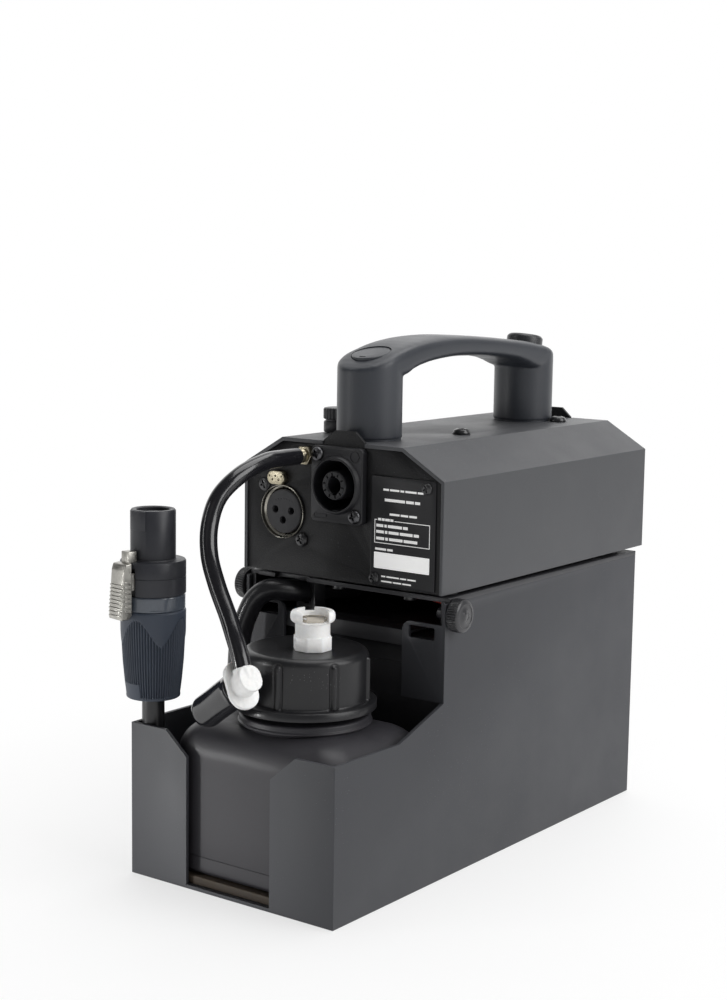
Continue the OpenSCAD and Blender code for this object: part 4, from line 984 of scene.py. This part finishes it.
# outlined box with three lines in it
X0, X1, Z0, Z1 = 17.6, 44.4, 133.7, 143.2
bar(X0, Z1 - 0.28, X0 + 1.2, Z1)
dashes(X0 + 1.7, X0 + 9.2, Z1 + 0.1, 1.0, (2, 2, 3, 2), 0.3)
for q in ((X0 + 9.8, Z1 - 0.28, X1, Z1), (X0, Z0, X1, Z0 + 0.28), (X0, Z0 + 0.28, X0 + 0.28, Z1 - 0.28), (X1 - 0.28, Z0 + 0.28, X1, Z1 - 0.28)):
    bar(*q)
dashes(18.5, 33.8, 140.8, 1.15, (3, 1, 6, 2))
dashes(18.5, 39.2, 138.3, 1.15, (3, 1, 4, 5, 2))
dashes(18.5, 38.5, 135.6, 1.15, (3, 1, 5, 5))
dashes(18.1, 26.7, 131.3, 0.9, (6, 3))
dashes(21.3, 38.1, 120.4, 0.6, (2, 6, 3, 4))
dashes(21.3, 35.8, 118.4, 0.6, (5, 4, 4))
for b in bars[1:]:
    join(bars[0], b)
toward_rear(bars[0], 0, 68.9, 0)
o = place(bars[0], "label_plate", MAT["print_white"], name="label_print", stands_for=False)
st = prism("st", rrect(26.8, 6.5, 0.3, 3, 31.0, 126.75), 0.78, 0.88)
toward_rear(st, 0, 68.9, 0)
place(st, "label_plate", MAT["sticker_white"], name="label_sticker", stands_for=False)

# ------------------------------------------------------------------ handle

GRIP = [
    (74.1, 201.4, 199.2), (75.2, 202.3, 198.9), (77.5, 203.6, 198.5), (81, 205.3, 198.2),
    (87.5, 208, 198), (94, 209.8, 198), (98, 210.8, 198.8), (101, 211.4, 200.3),
    (106, 212.2, 201.8), (114, 213.1, 203.3), (124, 213.7, 204.4), (135, 213.9, 205),
    (146, 213.6, 204.9), (158, 212.9, 204.4), (170, 212, 203.5), (182, 211, 202),
    (190, 210.3, 200), (194, 209.9, 198.5), (200, 209.1, 197), (207.5, 207.9, 197),
    (213, 206.4, 197), (216.8, 204.9, 197.5), (219.4, 203.5, 198), (220.9, 202.2, 198.5),
]


def grip_at(y):
    for i in range(len(GRIP) - 1):
        if GRIP[i][0] <= y <= GRIP[i + 1][0]:
            p = [Vector(GRIP[min(max(j, 0), len(GRIP) - 1)][1:] + (0,)) for j in (i - 1, i, i + 1, i + 2)]
            u = (y - GRIP[i][0]) / (GRIP[i + 1][0] - GRIP[i][0])
            q = mid_point(*p, u)
            return q.x, q.y
    return GRIP[-1][1:]


def grip_half(y):
    r = 13.5
    e = 87.5 - y if y < 87.5 else y - 207.5 if y > 207.5 else 0
    return math.sqrt(max(r * r - e * e, 0.2))


def power_box(w, z0, z1, n=72):
    m, h_ = (z0 + z1) / 2, (z1 - z0) / 2
    pts = []
    for j in range(n):
        a = 2 * PI * j / n
        c, s = math.cos(a), math.sin(a)
        x = w * math.copysign(abs(c) ** 0.42, c)
        z = m + h_ * math.copysign(abs(s) ** 0.5, s)
        pts.append((x, z))
    return pts


bm = bmesh.new()
ys = []
n_end = 10
for i in range(n_end):
    ys.append(74.02 + (87.5 - 74.02) * (1 - math.cos(PI / 2 * i / n_end)))
ys += [87.5 + 1.5 * i for i in range(80)]
for i in range(1, n_end + 1):
    ys.append(207.5 + 13.46 * math.sin(PI / 2 * i / n_end))
rings = []
for y in sorted(set(ys)):
    top, low = grip_at(min(max(y, 74.1), 220.9))
    rings.append([bm.verts.new((x, y, z)) for x, z in power_box(grip_half(y), low, top)])
for a, b in zip(rings, rings[1:]):
    n = len(a)
    for i in range(n):
        j = (i + 1) % n
        bm.faces.new((a[i], a[j], b[j], b[i]))
bm.faces.new(rings[0][::-1])
bm.faces.new(rings[-1])
grip = from_bm("grip", bm)
for y in (87.5, 207.5):
    post = lathe("post", [(0, 173.2), (13.5, 173.2), (13.5, 201.5), (0, 201.5)], 96)
    grip = combine(grip, move(post, 0, y, 0))
remesh(grip, 0.5, 7, 0.5)
foot = []
for y in (87.5, 207.5):
    # shallow step at the foot, which shows as a thin dark seam
    foot.append(move(lathe("foot", [(0, 172.62), (13.1, 172.62), (13.1, 174.5), (0, 174.5)], 96), 0, y, 0))
for f in foot:
    grip = combine(grip, f)
cuts = []
for y in (87.5, 207.5):
    cuts.append(move(lathe("bh", [(0, 170), (3.05, 170), (3.05, 186.6), (0, 186.6)], 32), 0, y, 0))
BUTTON = Matrix.Translation((0, 207.5, 207.9)) @ Matrix.Rotation(math.radians(-10), 4, "X")
COVER = Matrix.Translation((0, 88.0, 208.1)) @ Matrix.Rotation(math.radians(14), 4, "X")
cuts.append(shape(lathe("c1", [(0, -7.5), (8.36, -7.5), (8.36, 12), (0, 12)], 96), BUTTON))
cuts.append(shape(lathe("c2", [(0, -17.5), (6.6, -17.5), (6.6, -5.5), (0, -5.5)], 64), BUTTON))
cuts.append(shape(lathe("c3", [(0, -2), (8.42, -2), (8.42, 12), (0, 12)], 96), COVER))
cut(grip, *cuts)
place(grip, "handle", MAT["handle_plastic"], angle=50)

cover = lathe("cover", rounded([(0, -1.95), (8.15, -1.95), (8.15, -0.35), (7.9, -0.12), (4.5, 0.05), (0, 0.1)], 0.1, 2), 96)
cut(cover, prism("sl", rrect(3.2, 0.9, 0.4, 5, 0.0, -6.2), -0.9, 1.0))
shape(cover, COVER)
place(cover, "handle_cover", MAT["handle_plastic"])

btn = lathe("btn", rounded([
    (0, -9.3), (1.5, -9.3), (1.5, -4.6), (8.25, -4.6), (8.25, 2.7), (7.95, 3.25), (7.1, 4.0), (5.6, 4.02), (5.2, 3.75), (0, 3.7)], 0.25, 3), 128)
shape(btn, BUTTON)
place(btn, "fog_button", MAT["button_plastic"])

# ------------------------------------------------------------------ output knob


def knob_r(a, r, z):
    if z > 178.9 and r > 6.0:
        return r - 0.35 * (0.5 - 0.5 * math.cos(24 * a)) ** 2
    return r


knob = lathe("knob", [
    (0, 162), (3, 162), (3, 173.05), (5.9, 173.05), (6.2, 173.35), (6.2, 177.3), (5.9, 177.75), (5.4, 177.9), (5.4, 178.45),
    (6.0, 178.6), (6.4, 178.95), (6.4, 182.7), (6.0, 183.25), (4.8, 183.5), (0, 183.5)], 288, knob_r)
line = soften(block(-0.4, 1.2, 183.2, 0.4, 5.6, 183.62), 0.1, 1)
knob = combine(knob, line)
move(knob, -24, 98, 0)
place(knob, "output_knob", MAT["knob_plastic"], angle=45)

# ------------------------------------------------------------------ thumbscrews


def thumb_r(a, r, z):
    if 1.5 < z < 5.3 and r > 6.3:
        return r - 0.42 * (0.5 - 0.5 * math.cos(40 * a)) ** 1.3
    return r


def thumbscrew(node, m):
    o = lathe("thumb", [
        (0, -6.4), (2.0, -6.4), (2.4, -6.0), (2.4, 0.05), (4.1, 0.05), (4.3, 0.25), (4.3, 1.0), (6.3, 1.05), (6.55, 1.3), (6.75, 1.6), (6.75, 2.6),
        (6.75, 3.8), (6.75, 5.1), (6.5, 5.5), (6.2, 5.8), (5.6, 6.05), (4.9, 6.15), (4.7, 5.95), (2.0, 6.0), (1.7, 6.25), (0, 6.3)], 320, thumb_r)
    shape(o, m)
    return place(o, node, MAT["thumb_black"], angle=40)


thumbscrew("thumbscrew_rear_right", Matrix.Translation((51, 75.5, 107.5)) @ Matrix.Rotation(PI / 2, 4, "Y"))
thumbscrew("thumbscrew_rear_left", Matrix.Translation((-51, 75.5, 107.5)) @ Matrix.Rotation(-PI / 2, 4, "Y"))
thumbscrew("thumbscrew_front_right", Matrix.Translation((40, 227, 104)) @ Matrix.Rotation(-PI / 2, 4, "X"))
thumbscrew("thumbscrew_front_left", Matrix.Translation((-40, 227, 104)) @ Matrix.Rotation(-PI / 2, 4, "X"))

# ------------------------------------------------------------------ nozzle end

noz = lathe("noz", rounded([
    (5, -0.1), (5, 17.4), (5.5, 17.9), (8.5, 17.9), (9, 17.4), (9, 13.3), (12, 13.1), (12, 11.1), (9, 11.1), (9, 0), (5, -0.1)][::-1][1:], 0.2, 3), 96)
along_y(noz, 0, 222.1, 138)
place(noz, "nozzle", MAT["nozzle_steel"], angle=35)

# ------------------------------------------------------------------ everything else keeps its CAD form, with eased edges

for node in sorted(NODES):
    if not NODES[node].hide_render:
        refined(node, MAT[SLOT[node]], 0.15)

# ------------------------------------------------------------------ floor, light and world

bm = bmesh.new()
bmesh.ops.create_grid(bm, x_segments=1, y_segments=1, size=6)
floor = from_bm("floor", bm)
floor.location = (0, 0, -0.0002)
fm = bpy.data.materials.new("floor")
fm.use_nodes = True
nt = fm.node_tree
fb = nt.nodes["Principled BSDF"]
fb.inputs["Base Color"].default_value = (0.93, 0.93, 0.93, 1)
fb.inputs["Roughness"].default_value = 0.6
fb.inputs["Specular IOR Level"].default_value = 0.2
# white paper that turns into an evenly lit sweep away from the machine
where = nt.nodes.new("ShaderNodeTexCoord")
flat_ = nt.nodes.new("ShaderNodeMapping")
flat_.inputs["Scale"].default_value = (1, 0.6, 0)
dist = nt.nodes.new("ShaderNodeVectorMath")
dist.operation = "LENGTH"
fade = nt.nodes.new("ShaderNodeMapRange")
fade.interpolation_type = "SMOOTHSTEP"
fade.inputs["From Min"].default_value = 0.06
fade.inputs["From Max"].default_value = 0.28
fade.inputs["To Min"].default_value = 0.66
glow = nt.nodes.new("ShaderNodeEmission")
glow.inputs["Strength"].default_value = 1.0
blend = nt.nodes.new("ShaderNodeMixShader")
nt.links.new(where.outputs["Object"], flat_.inputs["Vector"])
nt.links.new(flat_.outputs["Vector"], dist.inputs[0])
nt.links.new(dist.outputs["Value"], fade.inputs["Value"])
nt.links.new(fade.outputs["Result"], blend.inputs[0])
nt.links.new(fb.outputs[0], blend.inputs[1])
nt.links.new(glow.outputs[0], blend.inputs[2])
nt.links.new(blend.outputs[0], nt.nodes["Material Output"].inputs["Surface"])
floor.data.materials.append(fm)

# a white room that is bright behind the machine and dim in front of it
world = bpy.data.worlds.new("world")
SCENE.world = world
world.use_nodes = True
wn = world.node_tree
bg = wn.nodes["Background"]
path = wn.nodes.new("ShaderNodeLightPath")
dirn = wn.nodes.new("ShaderNodeTexCoord")
dot = wn.nodes.new("ShaderNodeVectorMath")
dot.operation = "DOT_PRODUCT"
dot.inputs[1].default_value = (-0.594, 0.804, 0.0)
behind = wn.nodes.new("ShaderNodeMapRange")
behind.interpolation_type = "SMOOTHSTEP"
behind.inputs["From Min"].default_value = 0.2
behind.inputs["From Max"].default_value = 0.95
behind.inputs["To Min"].default_value = 0.085
behind.inputs["To Max"].default_value = 1.3
mixc = wn.nodes.new("ShaderNodeMix")
mixc.data_type = "FLOAT"
mixc.inputs[3].default_value = 1.0
wn.links.new(dirn.outputs["Generated"], dot.inputs[0])
wn.links.new(dot.outputs["Value"], behind.inputs["Value"])
wn.links.new(behind.outputs["Result"], mixc.inputs[2])
wn.links.new(path.outputs["Is Camera Ray"], mixc.inputs[0])
wn.links.new(mixc.outputs[0], bg.inputs["Strength"])
bg.inputs["Color"].default_value = (1, 1, 1, 1)


def area(name, where, at, size, power, size_y=None, colour=(1, 1, 1)):
    d = bpy.data.lights.new(name, "AREA")
    d.shape = "RECTANGLE"
    d.size = size
    d.size_y = size_y or size
    d.energy = power
    d.color = colour
    o = bpy.data.objects.new(name, d)
    SCENE.collection.objects.link(o)
    o.location = where
    o.rotation_euler = (Vector(at) - Vector(where)).to_track_quat("-Z", "Y").to_euler()
    return o


area("key_right", (1.5, 0.25, 0.9), (0, 0, 0.1), 1.2, 19, 1.2)
area("top", (0.15, 0.35, 1.8), (0, 0, 0.1), 1.5, 20, 1.5)
area("strip_left", (-0.75, -0.95, 0.4), (-0.05, -0.05, 0.1), 0.12, 1.9, 1.0)
area("front_fill", (0.5, -1.6, 0.9), (0, 0, 0.1), 1.0, 0.42, 1.0)
snoot = bpy.data.lights.new("snoot", "SPOT")
snoot.energy = 14.5
snoot.spot_size = math.radians(11)
snoot.spot_blend = 0.7
snoot.shadow_soft_size = 0.06
so = bpy.data.objects.new("snoot", snoot)
SCENE.collection.objects.link(so)
so.location = (-0.5, -0.62, 0.05)
so.rotation_euler = (Vector((-0.05, -0.12, 0.022)) - so.location).to_track_quat("-Z", "Y").to_euler()
